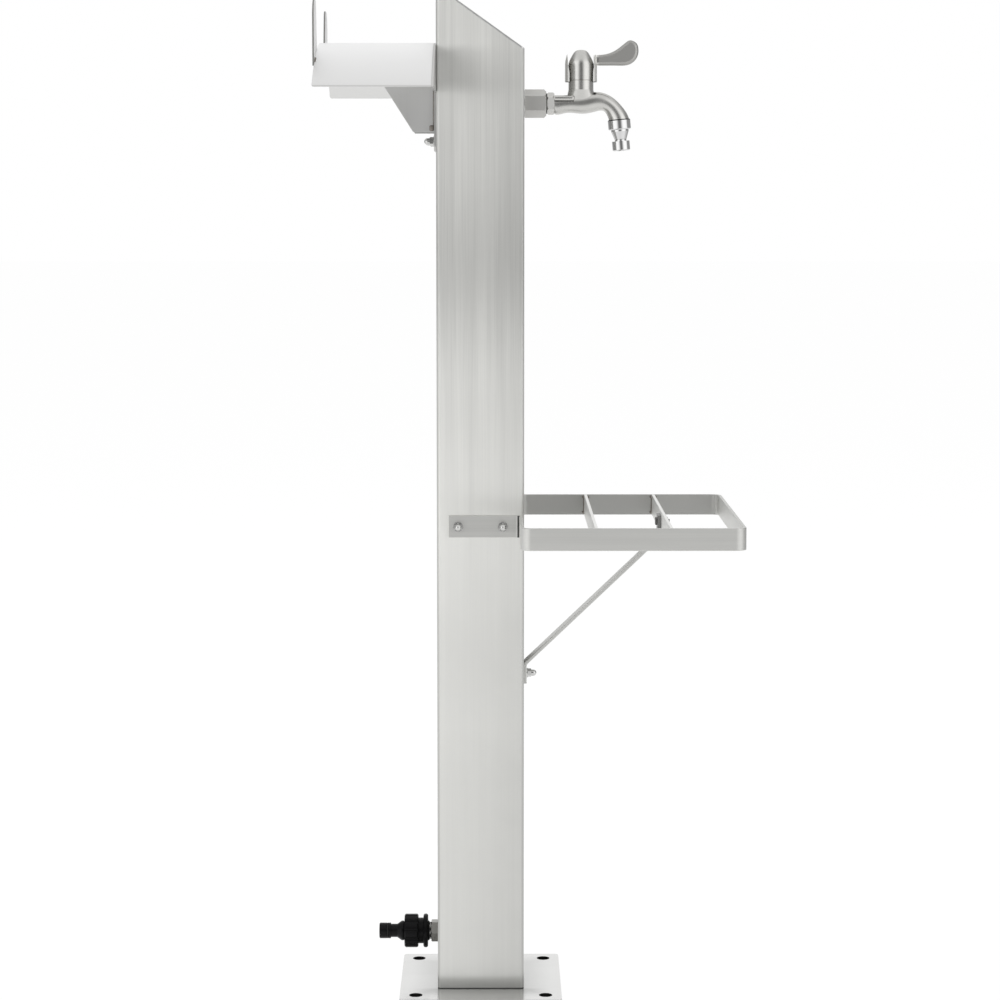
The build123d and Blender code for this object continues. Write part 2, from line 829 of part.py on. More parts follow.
def tap_body():
    collar_start = (tap_face, 0, tap_height)
    collar = hex_bar(tap_collar_flats, collar_start, to_right, tap_collar_length, up)
    collar &= corner_blank(
        tap_collar_flats, collar_start, to_right, tap_collar_length, tap_collar_chamfer, True, True
    )
    body = barrel_and_spout() + tap_neck() + collar
    body += rod(tap_thread_radius, collar_start, to_left, tap_thread_length)
    body += rod(spout_thread_radius, spout_end, spout_direction, spout_thread_length)
    inlet_start = (tap_face - tap_thread_length - overrun, 0, tap_height)
    inlet_length = tap_axis + seat_bore_radius - inlet_start[0]
    body -= rod(tap_bore_radius, inlet_start, to_right, inlet_length)
    chamber_floor = (tap_axis, 0, fixed_disc_height)
    body -= rod(chamber_radius, chamber_floor, up, neck_top_rise)
    body -= rod(seat_bore_radius, (tap_axis, 0, tap_height), up, chamber_floor_rise + overrun)
    body -= spout_bore()
    passage_start = (tap_axis + chamber_radius - passage_radius, 0, fixed_disc_height + passage_radius)
    passage_end = (tap_axis + chamber_radius + 2 * passage_radius, 0, tap_height)
    reach = Vector(*passage_end) - Vector(*passage_start)
    body -= rod(passage_radius, passage_start, reach.normalized().to_tuple(), reach.length)
    return body


def tap_cartridge():
    shell_foot = (tap_axis, 0, fixed_disc_height)
    shell_height = neck_top - fixed_disc_height
    shell = rod(cartridge_radius, shell_foot, up, shell_height)
    top_seat = (tap_axis, 0, neck_top)
    flange_flats = cartridge_flange_radius * math.sqrt(3)
    shell += hex_bar(flange_flats, top_seat, up, cartridge_flange_height, to_right)
    inner_height = spindle_flange_top + running_clearance - fixed_disc_height
    shell -= rod(cartridge_inner_radius, along(shell_foot, up, -overrun), up, inner_height + overrun)
    guide = spindle_radius + running_clearance
    shell -= rod(guide, shell_foot, up, cartridge_top - fixed_disc_height + overrun)
    window_low = (tap_axis, -cartridge_window_width / 2, moving_disc_height)
    window_high = (tap_axis + 2 * cartridge_radius, cartridge_window_width / 2, spindle_flange_top)
    shell -= block(window_low, window_high)
    ring_height = spindle_flange_top + cartridge_guide_height / 2
    groove = ring_shape(cartridge_radius - body_ring_section, body_ring_section + overrun, ring_height)
    return shell - groove


# Square ring section around the tap's axis, for grooves
def ring_shape(inner_radius, depth, height):
    outline = [
        (inner_radius, -body_ring_section),
        (inner_radius + depth, -body_ring_section),
        (inner_radius + depth, body_ring_section),
        (inner_radius, body_ring_section),
    ]
    return turned(outline, (tap_axis, 0, height), up)


def cartridge_o_ring():
    ring_height = spindle_flange_top + cartridge_guide_height / 2
    section = (body_ring_section + cartridge_fit) / 2
    middle = cartridge_radius - body_ring_section + section
    return Pos(tap_axis, 0, ring_height) * Torus(middle, section)


# Ceramic disc with two round ports, turned about the tap's axis
def ported_disc(height, turn):
    disc = rod(disc_radius, (tap_axis, 0, height), up, disc_thickness)
    for half_turn in (0, 180):
        angle = math.radians(turn + half_turn)
        x = tap_axis + disc_port_offset * math.cos(angle)
        y = disc_port_offset * math.sin(angle)
        disc -= rod(disc_port_radius, (x, y, height - overrun), up, disc_thickness + 2 * overrun)
    return disc


def disc_fixed():
    return ported_disc(fixed_disc_height, 0)


def disc_moving():
    slot_height = spindle_foot_height - spindle_tang_depth - running_clearance
    half_width = spindle_tang_width / 2 + running_clearance
    slot_low = (tap_axis - 2 * disc_radius, -half_width, slot_height)
    slot_high = (tap_axis + 2 * disc_radius, half_width, spindle_foot_height + overrun)
    return ported_disc(moving_disc_height, 90) - block(slot_low, slot_high)


def tap_spindle():
    foot = (tap_axis, 0, spindle_foot_height)
    flange_radius_here = disc_radius - moving_gap
    spindle = rod(flange_radius_here, foot, up, spindle_flange_thickness)
    spindle += rod(spindle_radius, foot, up, spindle_square_start - spindle_foot_height)
    half_square = spindle_square / 2
    square_low = (tap_axis - half_square, -half_square, spindle_square_start - overrun)
    square_high = (tap_axis + half_square, half_square, spindle_top)
    square = block(square_low, square_high) & rod(spindle_radius, foot, up, spindle_top - spindle_foot_height)
    spindle += square
    half_width = spindle_tang_width / 2
    tang_low = (tap_axis - flange_radius_here, -half_width, spindle_foot_height - spindle_tang_depth)
    tang_high = (tap_axis + flange_radius_here, half_width, spindle_foot_height)
    tang = block(tang_low, tang_high)
    reach_down = spindle_tang_depth + overrun
    tang &= rod(flange_radius_here, along(foot, up, -reach_down), up, reach_down)
    spindle += tang
    ring_height = cartridge_top - cartridge_flange_height / 2
    inner_radius = spindle_radius - 2 * spindle_ring_section
    outline = [
        (inner_radius, -spindle_ring_section),
        (spindle_radius + overrun, -spindle_ring_section),
        (spindle_radius + overrun, spindle_ring_section),
        (inner_radius, spindle_ring_section),
    ]
    return spindle - turned(outline, (tap_axis, 0, ring_height), up)


def spindle_o_ring():
    ring_height = cartridge_top - cartridge_flange_height / 2
    middle = spindle_radius - spindle_ring_section
    return Pos(tap_axis, 0, ring_height) * Torus(middle, spindle_ring_section)


# Round core of the handle's hub, drawn in to a rounded point at the crown
def hub_core():
    foot = hub_bottom
    shoulder = hub_bottom + hub_shoulder_rise
    crown = hub_bottom + hub_crown_rise
    rise = crown - shoulder
    flank = Spline(
        (hub_core_radius, 0, shoulder),
        (hub_core_radius * hub_flank_shares[0], 0, shoulder + rise * hub_flank_shares[1]),
        (hub_core_radius * hub_brow_shares[0], 0, shoulder + rise * hub_brow_shares[1]),
        (0, 0, crown),
        tangents=((0, 0, 1), (-1, 0, 0)),
    )
    sides = Polyline((0, 0, crown), (0, 0, foot), (hub_core_radius, 0, foot), (hub_core_radius, 0, shoulder))
    face = make_face(sides + flank)
    return Pos(tap_axis, 0, 0) * revolve(face, axis=Axis.Z)


# The hub's two side wings, seen along Y: upright outside, drawn in to a point at the top
def hub_wings():
    wing_foot = hub_bottom - hub_wing_drop
    shoulder = hub_bottom + hub_wing_shoulder_rise
    tip = hub_bottom + hub_wing_tip_rise
    tip_x = hub_radius - hub_wing_tip_inset
    lean_x = hub_radius - hub_wing_tip_inset / 3
    groove_x = tip_x - hub_wing_groove
    outline = [
        (groove_x, shoulder),
        (hub_cavity_radius + moving_gap, shoulder - hub_radius / 2),
        (hub_cavity_radius + moving_gap, wing_foot),
        (hub_radius, wing_foot),
        (hub_radius, shoulder),
        (lean_x, (shoulder + tip) / 2),
        (tip_x, tip),
    ]
    wings = None
    for side in (-1, 1):
        points = [(tap_axis + side * x, -hub_wing_half_width, z) for x, z in outline]
        face = make_face(Polyline(points, close=True))
        wing = extrude(face, amount=2 * hub_wing_half_width, dir=to_back)
        wings = wing if wings is None else wings + wing
    return wings & rod(hub_radius, (tap_axis, 0, wing_foot), up, tip - wing_foot + overrun)


def lever_blade():
    side = -lever_width / 2
    points = []
    for reach_share, height_share in lever_outline_shares:
        x = tap_axis + lever_reach * reach_share
        points.append((x, side, lever_foot_height + lever_height * height_share))
    rim = Spline(*points, tangents=(to_right, to_left)) + Line(points[-1], points[0])
    blade = extrude(make_face(rim), amount=lever_width, dir=to_back)
    sides = blade.faces().sort_by(Axis.Y)
    rims = sides[0].edges() + sides[-1].edges()
    free_rims = [edge for edge in rims if edge.length > lever_height]
    return fillet(free_rims, lever_edge_round)


def lever_handle():
    handle = hub_core() + hub_wings() + lever_blade()
    cavity_foot = (tap_axis, 0, hub_bottom - hub_wing_drop - overrun)
    cavity_length = hub_wing_drop + overrun + hub_cavity_height
    handle -= rod(hub_cavity_radius, cavity_foot, up, cavity_length)
    handle -= rod(neck_radius + moving_gap, cavity_foot, up, hub_wing_drop + overrun)
    half_square = spindle_square / 2 + running_clearance
    square_low = (tap_axis - half_square, -half_square, hub_bottom)
    square_high = (tap_axis + half_square, half_square, spindle_top + moving_gap)
    handle -= block(square_low, square_high)
    screw_start = (tap_axis - hub_radius - overrun, 0, set_screw_height)
    return handle - rod(set_screw_radius + thread_clearance, screw_start, to_right, hub_radius + overrun)


def lever_set_screw():
    tip = (tap_axis - spindle_square / 2, 0, set_screw_height)
    screw = rod(set_screw_radius, tip, to_left, set_screw_length)
    key_start = along(tip, to_left, set_screw_length + overrun)
    key_length = overrun + set_screw_length / 2
    return screw - hex_bar(2 * set_screw_key_radius, key_start, to_right, key_length, up)


# Lengths of the nozzle are counted from the spout's end
def spout_nozzle():
    cone_end = nozzle_collar_length + nozzle_cone_length
    end_start = cone_end + nozzle_groove_length
    end = end_start + nozzle_end_length
    thread = spout_thread_radius + thread_clearance
    seat_depth = spout_thread_length + nozzle_washer_thickness
    outline = [
        (thread, 0),
        (nozzle_collar_radius - nozzle_collar_chamfer, 0),
        (nozzle_collar_radius, nozzle_collar_chamfer),
        (nozzle_collar_radius, nozzle_collar_length - nozzle_collar_chamfer),
        (nozzle_collar_radius - nozzle_collar_chamfer, nozzle_collar_length),
        (nozzle_cone_radius, nozzle_collar_length),
        (nozzle_cone_radius, nozzle_collar_length + nozzle_cone_straight),
        (nozzle_groove_radius, cone_end),
        (nozzle_groove_radius, end_start),
        (nozzle_cone_radius, end_start),
        (nozzle_cone_radius, end - nozzle_end_chamfer),
        (nozzle_cone_radius - nozzle_end_chamfer, end),
        (nozzle_bore_radius, end),
        (nozzle_bore_radius, seat_depth),
        (thread, seat_depth),
    ]
    return turned(outline, spout_end, spout_direction)


def nozzle_washer():
    start = along(spout_end, spout_direction, spout_thread_length)
    return sleeve(spout_thread_radius, spout_bore_radius, start, spout_direction, nozzle_washer_thickness)


def inlet_nipple():
    face = (-column_face, 0, inlet_height)
    nipple = hex_bar(inlet_hex_flats, face, to_left, inlet_hex_length, to_front)
    nipple &= corner_blank(
        inlet_hex_flats, face, to_left, inlet_hex_length, inlet_hex_chamfer, False, True
    )
    hex_end = along(face, to_left, inlet_hex_length)
    nipple += rod(inlet_thread_radius, hex_end, to_left, inlet_thread_length)
    inside_length = column_wall + inlet_spigot_inside
    nipple += rod(inlet_spigot_radius, face, to_right, inside_length)
    outer_end = along(hex_end, to_left, inlet_thread_length + overrun)
    bore_length = inlet_thread_length + inlet_hex_length + inside_length + 2 * overrun
    return nipple - rod(inlet_bore_radius, outer_end, to_right, bore_length)


# Coupling pieces are turned about the inlet's axis, lengths counted from the column's face
def coupling_turned(outline):
    return turned(outline, (-column_face, 0, inlet_height), to_left)


def coupling_adapter():
    thread = inlet_thread_radius + thread_clearance
    socket_end_here = inlet_hex_length + inlet_thread_length + overrun / 2
    outline = [
        (thread, adapter_start),
        (adapter_start_radius, adapter_start),
        (adapter_hub_radius, flange_start),
        (flange_radius - flange_edge_round, flange_start),
        (flange_radius, flange_start + flange_edge_round),
        (flange_radius, flange_end - flange_edge_round),
        (flange_radius - flange_edge_round, flange_end),
        (adapter_neck_radius, flange_end),
        (adapter_neck_radius, coupling_nut_start),
        (coupling_thread_radius, coupling_nut_start),
        (coupling_thread_radius, coupling_washer_start),
        (tail_bore_radius, coupling_washer_start),
        (tail_bore_radius, socket_end_here),
        (thread, socket_end_here),
    ]
    return coupling_turned(outline)


def coupling_nut():
    outline = [
        (coupling_nut_bore, coupling_nut_start),
        (coupling_nut_radius - coupling_nut_chamfer, coupling_nut_start),
        (coupling_nut_radius, coupling_nut_start + coupling_nut_chamfer),
        (coupling_nut_radius, coupling_nut_end - coupling_nut_chamfer),
        (coupling_nut_radius - coupling_nut_chamfer, coupling_nut_end),
        (tail_hole_radius, coupling_nut_end),
        (tail_hole_radius, coupling_lip_start),
        (coupling_nut_bore, coupling_lip_start),
    ]
    nut = coupling_turned(outline)
    reach = coupling_nut_radius - coupling_rib_depth + coupling_rib_gap
    cut_start = coupling_nut_start - overrun
    cut_length = coupling_nut_end - coupling_nut_start + 2 * overrun
    for number in range(coupling_rib_count):
        angle = 2 * math.pi * (number + 1 / 2) / coupling_rib_count
        y = reach * math.cos(angle)
        z = inlet_height + reach * math.sin(angle)
        nut -= rod(coupling_rib_gap, (-column_face - cut_start, y, z), to_left, cut_length)
    return nut


def coupling_washer():
    start = (-column_face - coupling_washer_start, 0, inlet_height)
    return sleeve(tail_shoulder_radius, tail_bore_radius, start, to_left, coupling_washer_thickness)


def hose_tail():
    ring_depth = tail_end_radius - 2 * tail_ring_section
    outline = [
        (tail_bore_radius, shoulder_start),
        (tail_shoulder_radius, shoulder_start),
        (tail_shoulder_radius, coupling_lip_start),
        (tail_body_radius, coupling_lip_start),
        (tail_body_radius, coupling_nut_end + moving_gap),
        (tail_bulge_radius, tail_bulge_start),
        (tail_bulge_radius, tail_bulge_end),
        (tail_neck_radius, tail_neck_start),
        (tail_neck_radius, tail_end_start),
        (tail_end_radius, tail_end_start),
        (tail_end_radius, tail_ring_start),
        (ring_depth, tail_ring_start),
        (ring_depth, tail_ring_start + 2 * tail_ring_section),
        (tail_end_radius, tail_ring_start + 2 * tail_ring_section),
        (tail_end_radius, tail_end - tail_end_chamfer),
        (tail_end_radius - tail_end_chamfer, tail_end),
        (tail_bore_radius, tail_end),
    ]
    return coupling_turned(outline)


def tail_o_ring():
    centre = (-column_face - tail_ring_start - tail_ring_section, 0, inlet_height)
    middle = tail_end_radius - tail_ring_section
    return Plane(origin=centre, z_dir=to_left) * Torus(middle, tail_ring_section)


# Elbow: a leg onto the spigot from the column wall and an upright leg with a spigot for the hose
def elbow(corner, toward_wall, wall_gap, spigot_radius, spigot_reach, upright, upright_length):
    body = rod(elbow_radius, corner, toward_wall, wall_gap)
    body += Pos(*corner) * Sphere(elbow_radius)
    leg_length = upright_length - elbow_spigot_length
    body += rod(elbow_radius, corner, upright, leg_length)
    body += rod(elbow_spigot_radius, corner, upright, upright_length)
    body -= rod(elbow_bore_radius, corner, toward_wall, wall_gap + overrun)
    body -= rod(elbow_bore_radius, corner, upright, upright_length + overrun)
    body -= Pos(*corner) * Sphere(elbow_bore_radius)
    spigot_start = along(corner, toward_wall, spigot_reach)
    return body - rod(spigot_radius + thread_clearance, spigot_start, toward_wall, wall_gap)


def inlet_elbow():
    wall_gap = inlet_elbow_setback - lock_washer_thickness - lock_nut_thickness
    spigot_reach = inlet_elbow_setback - inlet_spigot_inside
    corner = (inlet_elbow_x, 0, inlet_height)
    return elbow(corner, to_left, wall_gap, inlet_spigot_radius, spigot_reach, up, elbow_leg_length)


def outlet_elbow():
    wall_gap = outlet_elbow_setback - lock_washer_thickness - lock_nut_thickness
    spigot_reach = outlet_elbow_setback - socket_spigot_inside
    corner = (outlet_elbow_x, 0, tap_height)
    return elbow(corner, to_right, wall_gap, socket_spigot_radius, spigot_reach, down, elbow_leg_length)


# Hose nut, ferrule and hose start at the end of an elbow's leg and go away from it
def hose_nut(leg_end, away):
    start = along(leg_end, away, -elbow_spigot_length)
    nut = hex_bar(hose_nut_flats, start, away, hose_nut_height, to_front)
    nut &= corner_blank(hose_nut_flats, start, away, hose_nut_height, cap_nut_chamfer, True, True)
    thread = elbow_spigot_radius + thread_clearance
    nut -= rod(thread, along(start, away, -overrun), away, elbow_spigot_length + overrun)
    return nut - rod(hose_bore_radius, start, away, hose_nut_height + overrun)


# Place where a hose nut ends and its ferrule begins
def ferrule_start(leg_end, away):
    return along(leg_end, away, hose_nut_height - elbow_spigot_length)


def hose_ferrule(leg_end, away):
    start = ferrule_start(leg_end, away)
    crimp_pitch = ferrule_length / (ferrule_crimp_count + 1)
    outline = [(hose_radius, 0), (ferrule_radius, 0)]
    for number in range(ferrule_crimp_count):
        middle = crimp_pitch * (number + 1)
        outline.append((ferrule_radius, middle - ferrule_crimp_width))
        outline.append((ferrule_radius - ferrule_crimp_depth, middle - ferrule_crimp_width / 2))
        outline.append((ferrule_radius - ferrule_crimp_depth, middle + ferrule_crimp_width / 2))
        outline.append((ferrule_radius, middle + ferrule_crimp_width))
    outline.append((ferrule_radius, ferrule_length))
    outline.append((hose_radius, ferrule_length))
    return turned(outline, start, away)


def hose_nut_lower():
    return hose_nut(inlet_leg_end, up)


def hose_nut_upper():
    return hose_nut(outlet_leg_end, down)


def hose_ferrule_lower():
    return hose_ferrule(inlet_leg_end, up)


def hose_ferrule_upper():
    return hose_ferrule(outlet_leg_end, down)


# Supply hose: straight out of each ferrule, with two wide bends between
def supply_hose():
    start = ferrule_start(inlet_leg_end, up)
    end = ferrule_start(outlet_leg_end, down)
    length = end[2] - start[2]
    low_bend = (start[0], 0, start[2] + hose_bend_shares[0] * length)
    high_bend = (end[0], 0, start[2] + hose_bend_shares[1] * length)
    middle_run = Vector(*high_bend) - Vector(*low_bend)
    turn = math.atan2(abs(middle_run.X), middle_run.Z)
    shorter = min(low_bend[2] - start[2], end[2] - high_bend[2], middle_run.length)
    radius = 0.45 * shorter / math.tan(turn / 2)
    path = FilletPolyline(start, low_bend, high_bend, end, radius=radius)
    seat = Plane(origin=start, z_dir=up)
    return sweep(seat * (Circle(hose_radius) - Circle(hose_bore_radius)), path=path)


pieces = {
    "base_plate": base_plate,
    "column_tube": column_tube,
    "column_cap": column_cap,
    "weld_studs": weld_studs,
    "stud_washers": stud_washers,
    "cap_nuts": cap_nuts,
    "shelf_frame": shelf_frame,
    "shelf_bar_inner": shelf_bar_inner,
    "shelf_bar_outer": shelf_bar_outer,
    "shelf_strut": shelf_strut,
    "strut_screw": strut_screw,
    "strut_screw_washer": strut_screw_washer,
    "strut_screw_nut": strut_screw_nut,
    "saddle_sheet": saddle_sheet_plate,
    "saddle_back_plate": saddle_back_plate,
    "saddle_gusset_front": saddle_gusset_front,
    "saddle_gusset_back": saddle_gusset_back,
    "stop_ear_front": stop_ear_front,
    "stop_ear_back": stop_ear_back,
    "socket_washer": socket_washer,
    "tap_socket": tap_socket,
    "socket_lock_washer": socket_lock_washer,
    "socket_lock_nut": socket_lock_nut,
    "tap_seal": tap_seal,
    "tap_body": tap_body,
    "tap_cartridge": tap_cartridge,
    "cartridge_o_ring": cartridge_o_ring,
    "disc_fixed": disc_fixed,
    "disc_moving": disc_moving,
    "tap_spindle": tap_spindle,
    "spindle_o_ring": spindle_o_ring,
    "lever_handle": lever_handle,
    "lever_set_screw": lever_set_screw,
    "spout_nozzle": spout_nozzle,
    "nozzle_washer": nozzle_washer,
    "inlet_nipple": inlet_nipple,
    "inlet_lock_washer": inlet_lock_washer,
    "inlet_lock_nut": inlet_lock_nut,
    "coupling_adapter": coupling_adapter,
    "coupling_nut": coupling_nut,
    "coupling_washer": coupling_washer,
    "hose_tail": hose_tail,
    "tail_o_ring": tail_o_ring,
    "inlet_elbow": inlet_elbow,
    "outlet_elbow": outlet_elbow,
    "hose_nut_lower": hose_nut_lower,
    "hose_nut_upper": hose_nut_upper,
    "hose_ferrule_lower": hose_ferrule_lower,
    "hose_ferrule_upper": hose_ferrule_upper,
    "supply_hose": supply_hose,
}

os.makedirs("parts", exist_ok=True)
for name, make in pieces.items():
    solid = make()
    export_step(solid, f"parts/{name}.step")
    print(name, round(solid.volume, 1))
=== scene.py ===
import bpy
import bmesh
import json
import math
from mathutils import Matrix, Vector


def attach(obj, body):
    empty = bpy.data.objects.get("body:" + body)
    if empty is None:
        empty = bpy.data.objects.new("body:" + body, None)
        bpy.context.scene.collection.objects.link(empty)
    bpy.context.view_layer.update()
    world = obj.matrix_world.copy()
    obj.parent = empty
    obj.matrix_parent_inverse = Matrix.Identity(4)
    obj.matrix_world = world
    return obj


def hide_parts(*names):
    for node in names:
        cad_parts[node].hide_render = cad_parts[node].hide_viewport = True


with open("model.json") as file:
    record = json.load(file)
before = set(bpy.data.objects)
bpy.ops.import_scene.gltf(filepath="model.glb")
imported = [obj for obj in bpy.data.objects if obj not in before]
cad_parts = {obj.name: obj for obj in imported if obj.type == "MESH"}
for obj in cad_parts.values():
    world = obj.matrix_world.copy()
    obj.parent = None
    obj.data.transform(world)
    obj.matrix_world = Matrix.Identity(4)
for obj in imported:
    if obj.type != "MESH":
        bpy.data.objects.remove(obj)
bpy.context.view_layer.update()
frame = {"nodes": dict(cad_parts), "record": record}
cadNodes = frame["nodes"]
print("frame loaded:", len(cadNodes), "nodes")

mm = 0.001


def newGroup(groupName, inputs, outputs):
    group = bpy.data.node_groups.new(groupName, "ShaderNodeTree")
    for label, kind, value in inputs:
        socket = group.interface.new_socket(name=label, in_out="INPUT", socket_type=kind)
        if value is not None:
            socket.default_value = value
    for label, kind in outputs:
        group.interface.new_socket(name=label, in_out="OUTPUT", socket_type=kind)
    groupIn = group.nodes.new("NodeGroupInput")
    groupOut = group.nodes.new("NodeGroupOutput")
    return group, groupIn, groupOut


def mathNode(tree, operation, first, second=0.0, clamp=False):
    node = tree.nodes.new("ShaderNodeMath")
    node.operation = operation
    node.use_clamp = clamp
    for index, value in enumerate((first, second)):
        if isinstance(value, (int, float)):
            node.inputs[index].default_value = value
        else:
            tree.links.new(value, node.inputs[index])
    return node.outputs[0]


# Product of values or masks
def product(tree, first, *others):
    for other in others:
        first = mathNode(tree, "MULTIPLY", first, other)
    return first


# 1 where a value lies between two limits
def within(tree, value, low, high):
    above = mathNode(tree, "GREATER_THAN", value, low)
    return product(tree, above, mathNode(tree, "LESS_THAN", value, high))


# Carries a value from the range start to end over to the range low to high, flat beyond the ends
def mapRange(tree, value, start, end, low=0.0, high=1.0, soft=False):
    node = tree.nodes.new("ShaderNodeMapRange")
    if soft:
        node.interpolation_type = "SMOOTHSTEP"
    for label, limit in (("From Min", start), ("From Max", end), ("To Min", low), ("To Max", high)):
        node.inputs[label].default_value = limit
    tree.links.new(value, node.inputs["Value"])
    return node.outputs[0]


# Grey levels at positions along a value
def greyRamp(tree, value, rows, interpolation="LINEAR"):
    ramp = tree.nodes.new("ShaderNodeValToRGB")
    ramp.color_ramp.interpolation = interpolation
    stops = ramp.color_ramp.elements
    for number, (position, level) in enumerate(rows):
        if number == 0:
            stop = stops[0]
        elif number == len(rows) - 1:
            stop = stops[-1]
        else:
            stop = stops.new(position)
        stop.position = position
        stop.color = (level, level, level, 1)
    tree.links.new(value, ramp.inputs[0])
    return ramp.outputs[0]


def noiseNode(tree, vector, scale, detail, roughness):
    node = tree.nodes.new("ShaderNodeTexNoise")
    node.inputs["Scale"].default_value = scale
    node.inputs["Detail"].default_value = detail
    node.inputs["Roughness"].default_value = roughness
    tree.links.new(vector, node.inputs["Vector"])
    return node.outputs["Fac"]


def stretched(tree, vector, scale):
    node = tree.nodes.new("ShaderNodeMapping")
    node.inputs["Scale"].default_value = scale
    tree.links.new(vector, node.inputs["Vector"])
    return node.outputs["Vector"]


def scaledVector(tree, vector, factor):
    node = tree.nodes.new("ShaderNodeVectorMath")
    node.operation = "SCALE"
    if isinstance(vector, tuple):
        node.inputs[0].default_value = vector
    else:
        tree.links.new(vector, node.inputs[0])
    tree.links.new(factor, node.inputs["Scale"])
    return node.outputs[0]


grainLayers = {  # scale of the pattern, and roughness of its noise
    "Fine": ((1200.0, 1200.0, 9.0), 0.6),
    "Streak": ((240.0, 240.0, 3.5), 0.6),
    "Broad": ((34.0, 34.0, 2.4), 0.5),
}
streakHeight = 0.6  # beside the fine lines


# Brushed grain: fine lines, soft streaks and broad bands that run along the pattern's Z
def makeGrainGroup():
    group, groupIn, groupOut = newGroup(
        "brushedGrain",
        [("Vector", "NodeSocketVector", None), ("Fine", "NodeSocketFloat", 0.5),
         ("Streak", "NodeSocketFloat", 0.5), ("Broad", "NodeSocketFloat", 0.5)],
        [("Shade", "NodeSocketFloat"), ("Roughness", "NodeSocketFloat"), ("Height", "NodeSocketFloat")],
    )
    layers, swings = {}, {}
    for label, (scale, roughness) in grainLayers.items():
        vector = stretched(group, groupIn.outputs["Vector"], scale)
        layers[label] = noiseNode(group, vector, 1.0, 3.0, roughness)
        swing = mathNode(group, "SUBTRACT", layers[label], 0.5)
        swings[label] = product(group, swing, groupIn.outputs[label])
    lines = mathNode(group, "ADD", swings["Fine"], swings["Streak"])
    shade = mathNode(group, "ADD", lines, swings["Broad"])
    group.links.new(mathNode(group, "ADD", shade, 0.5, True), groupOut.inputs["Shade"])
    rough = mathNode(group, "ADD", swings["Fine"], swings["Broad"])
    group.links.new(mathNode(group, "ADD", rough, 0.5, True), groupOut.inputs["Roughness"])
    height = mathNode(group, "ADD", layers["Fine"], product(group, layers["Streak"], streakHeight))
    group.links.new(height, groupOut.inputs["Height"])
    return group


smudgeSettings = {  # scale, detail and roughness of the noise, and where its edge lies
    "Mask": ((1.0, 4.0, 0.6), (0.42, 0.68)),
    "Specks": ((14.0, 2.0, 0.5), (0.66, 0.76)),
}


# Handling marks: soft cloudy patches with a few faint specks
def makeSmudgeGroup():
    group, groupIn, groupOut = newGroup(
        "handlingMarks",
        [("Vector", "NodeSocketVector", None), ("Size", "NodeSocketFloat", 0.03),
         ("Amount", "NodeSocketFloat", 0.5)],
        [("Mask", "NodeSocketFloat"), ("Specks", "NodeSocketFloat")],
    )
    finer = mathNode(group, "DIVIDE", 1.0, groupIn.outputs["Size"])
    vector = scaledVector(group, groupIn.outputs["Vector"], finer)
    for label, (noise, edge) in smudgeSettings.items():
        patches = mapRange(group, noiseNode(group, vector, *noise), *edge)
        patches = mathNode(group, "MULTIPLY", patches, groupIn.outputs["Amount"], True)
        group.links.new(patches, groupOut.inputs[label])
    return group


studioSettings = {
    "level": 1.5,  # of the brightest soft panel that metal reflects
    "around": (  # from behind the camera, round the side, to the backdrop
        (0.0, 0.14), (0.010, 0.19), (0.024, 0.46), (0.075, 0.92), (0.20, 1.0),
        (0.36, 0.85), (0.46, 0.24), (0.92, 0.24), (0.975, 0.667), (1.0, 0.667),
    ),
    "upright": 0.000001,  # keeps the division sound straight up and down
    "overhead": 0.62, "overheadRise": (0.45, 0.85),
    "fill": 0.60,
}


# Level of the studio that metal shows in a direction: panels at both sides, dark behind the camera
def makeStudioGroup():
    group, groupIn, groupOut = newGroup(
        "studioPanels", [("Direction", "NodeSocketVector", None)], [("Level", "NodeSocketFloat")]
    )
    split = group.nodes.new("ShaderNodeSeparateXYZ")
    group.links.new(groupIn.outputs["Direction"], split.inputs[0])
    squares = mathNode(group, "ADD", product(group, split.outputs["X"], split.outputs["X"]),
                       product(group, split.outputs["Y"], split.outputs["Y"]))
    flat = mathNode(group, "SQRT", mathNode(group, "MAXIMUM", squares, studioSettings["upright"]))
    around = product(group, mathNode(group, "DIVIDE", split.outputs["Y"], flat), 0.5)
    around = mathNode(group, "ADD", around, 0.5, True)
    panels = greyRamp(group, around, studioSettings["around"])
    group.links.new(product(group, panels, studioSettings["level"]), groupOut.inputs["Level"])
    return group


grainGroup = makeGrainGroup()
smudgeGroup = makeSmudgeGroup()
studioGroup = makeStudioGroup()


def startMaterial(name):
    material = bpy.data.materials.new(name)
    material.use_nodes = True
    tree = material.node_tree
    shader = tree.nodes["Principled BSDF"]
    coordinates = tree.nodes.new("ShaderNodeTexCoord").outputs["Object"]
    return material, tree, shader, coordinates


def placeGroup(tree, group, vector, values):
    node = tree.nodes.new("ShaderNodeGroup")
    node.node_tree = group
    tree.links.new(vector, node.inputs["Vector"])
    for label, value in values.items():
        node.inputs[label].default_value = value
    return node


def mixColour(tree, factor, first, second):
    node = tree.nodes.new("ShaderNodeMix")
    node.data_type = "RGBA"
    tree.links.new(factor, node.inputs["Factor"])
    for socket, value in ((node.inputs["A"], first), (node.inputs["B"], second)):
        if isinstance(value, tuple):
            socket.default_value = (*value, 1.0)
        else:
            tree.links.new(value, socket)
    return node.outputs["Result"]


def bumpFrom(tree, height, strength, distance):
    node = tree.nodes.new("ShaderNodeBump")
    node.inputs["Strength"].default_value = strength
    node.inputs["Distance"].default_value = distance
    tree.links.new(height, node.inputs["Height"])
    return node.outputs["Normal"]


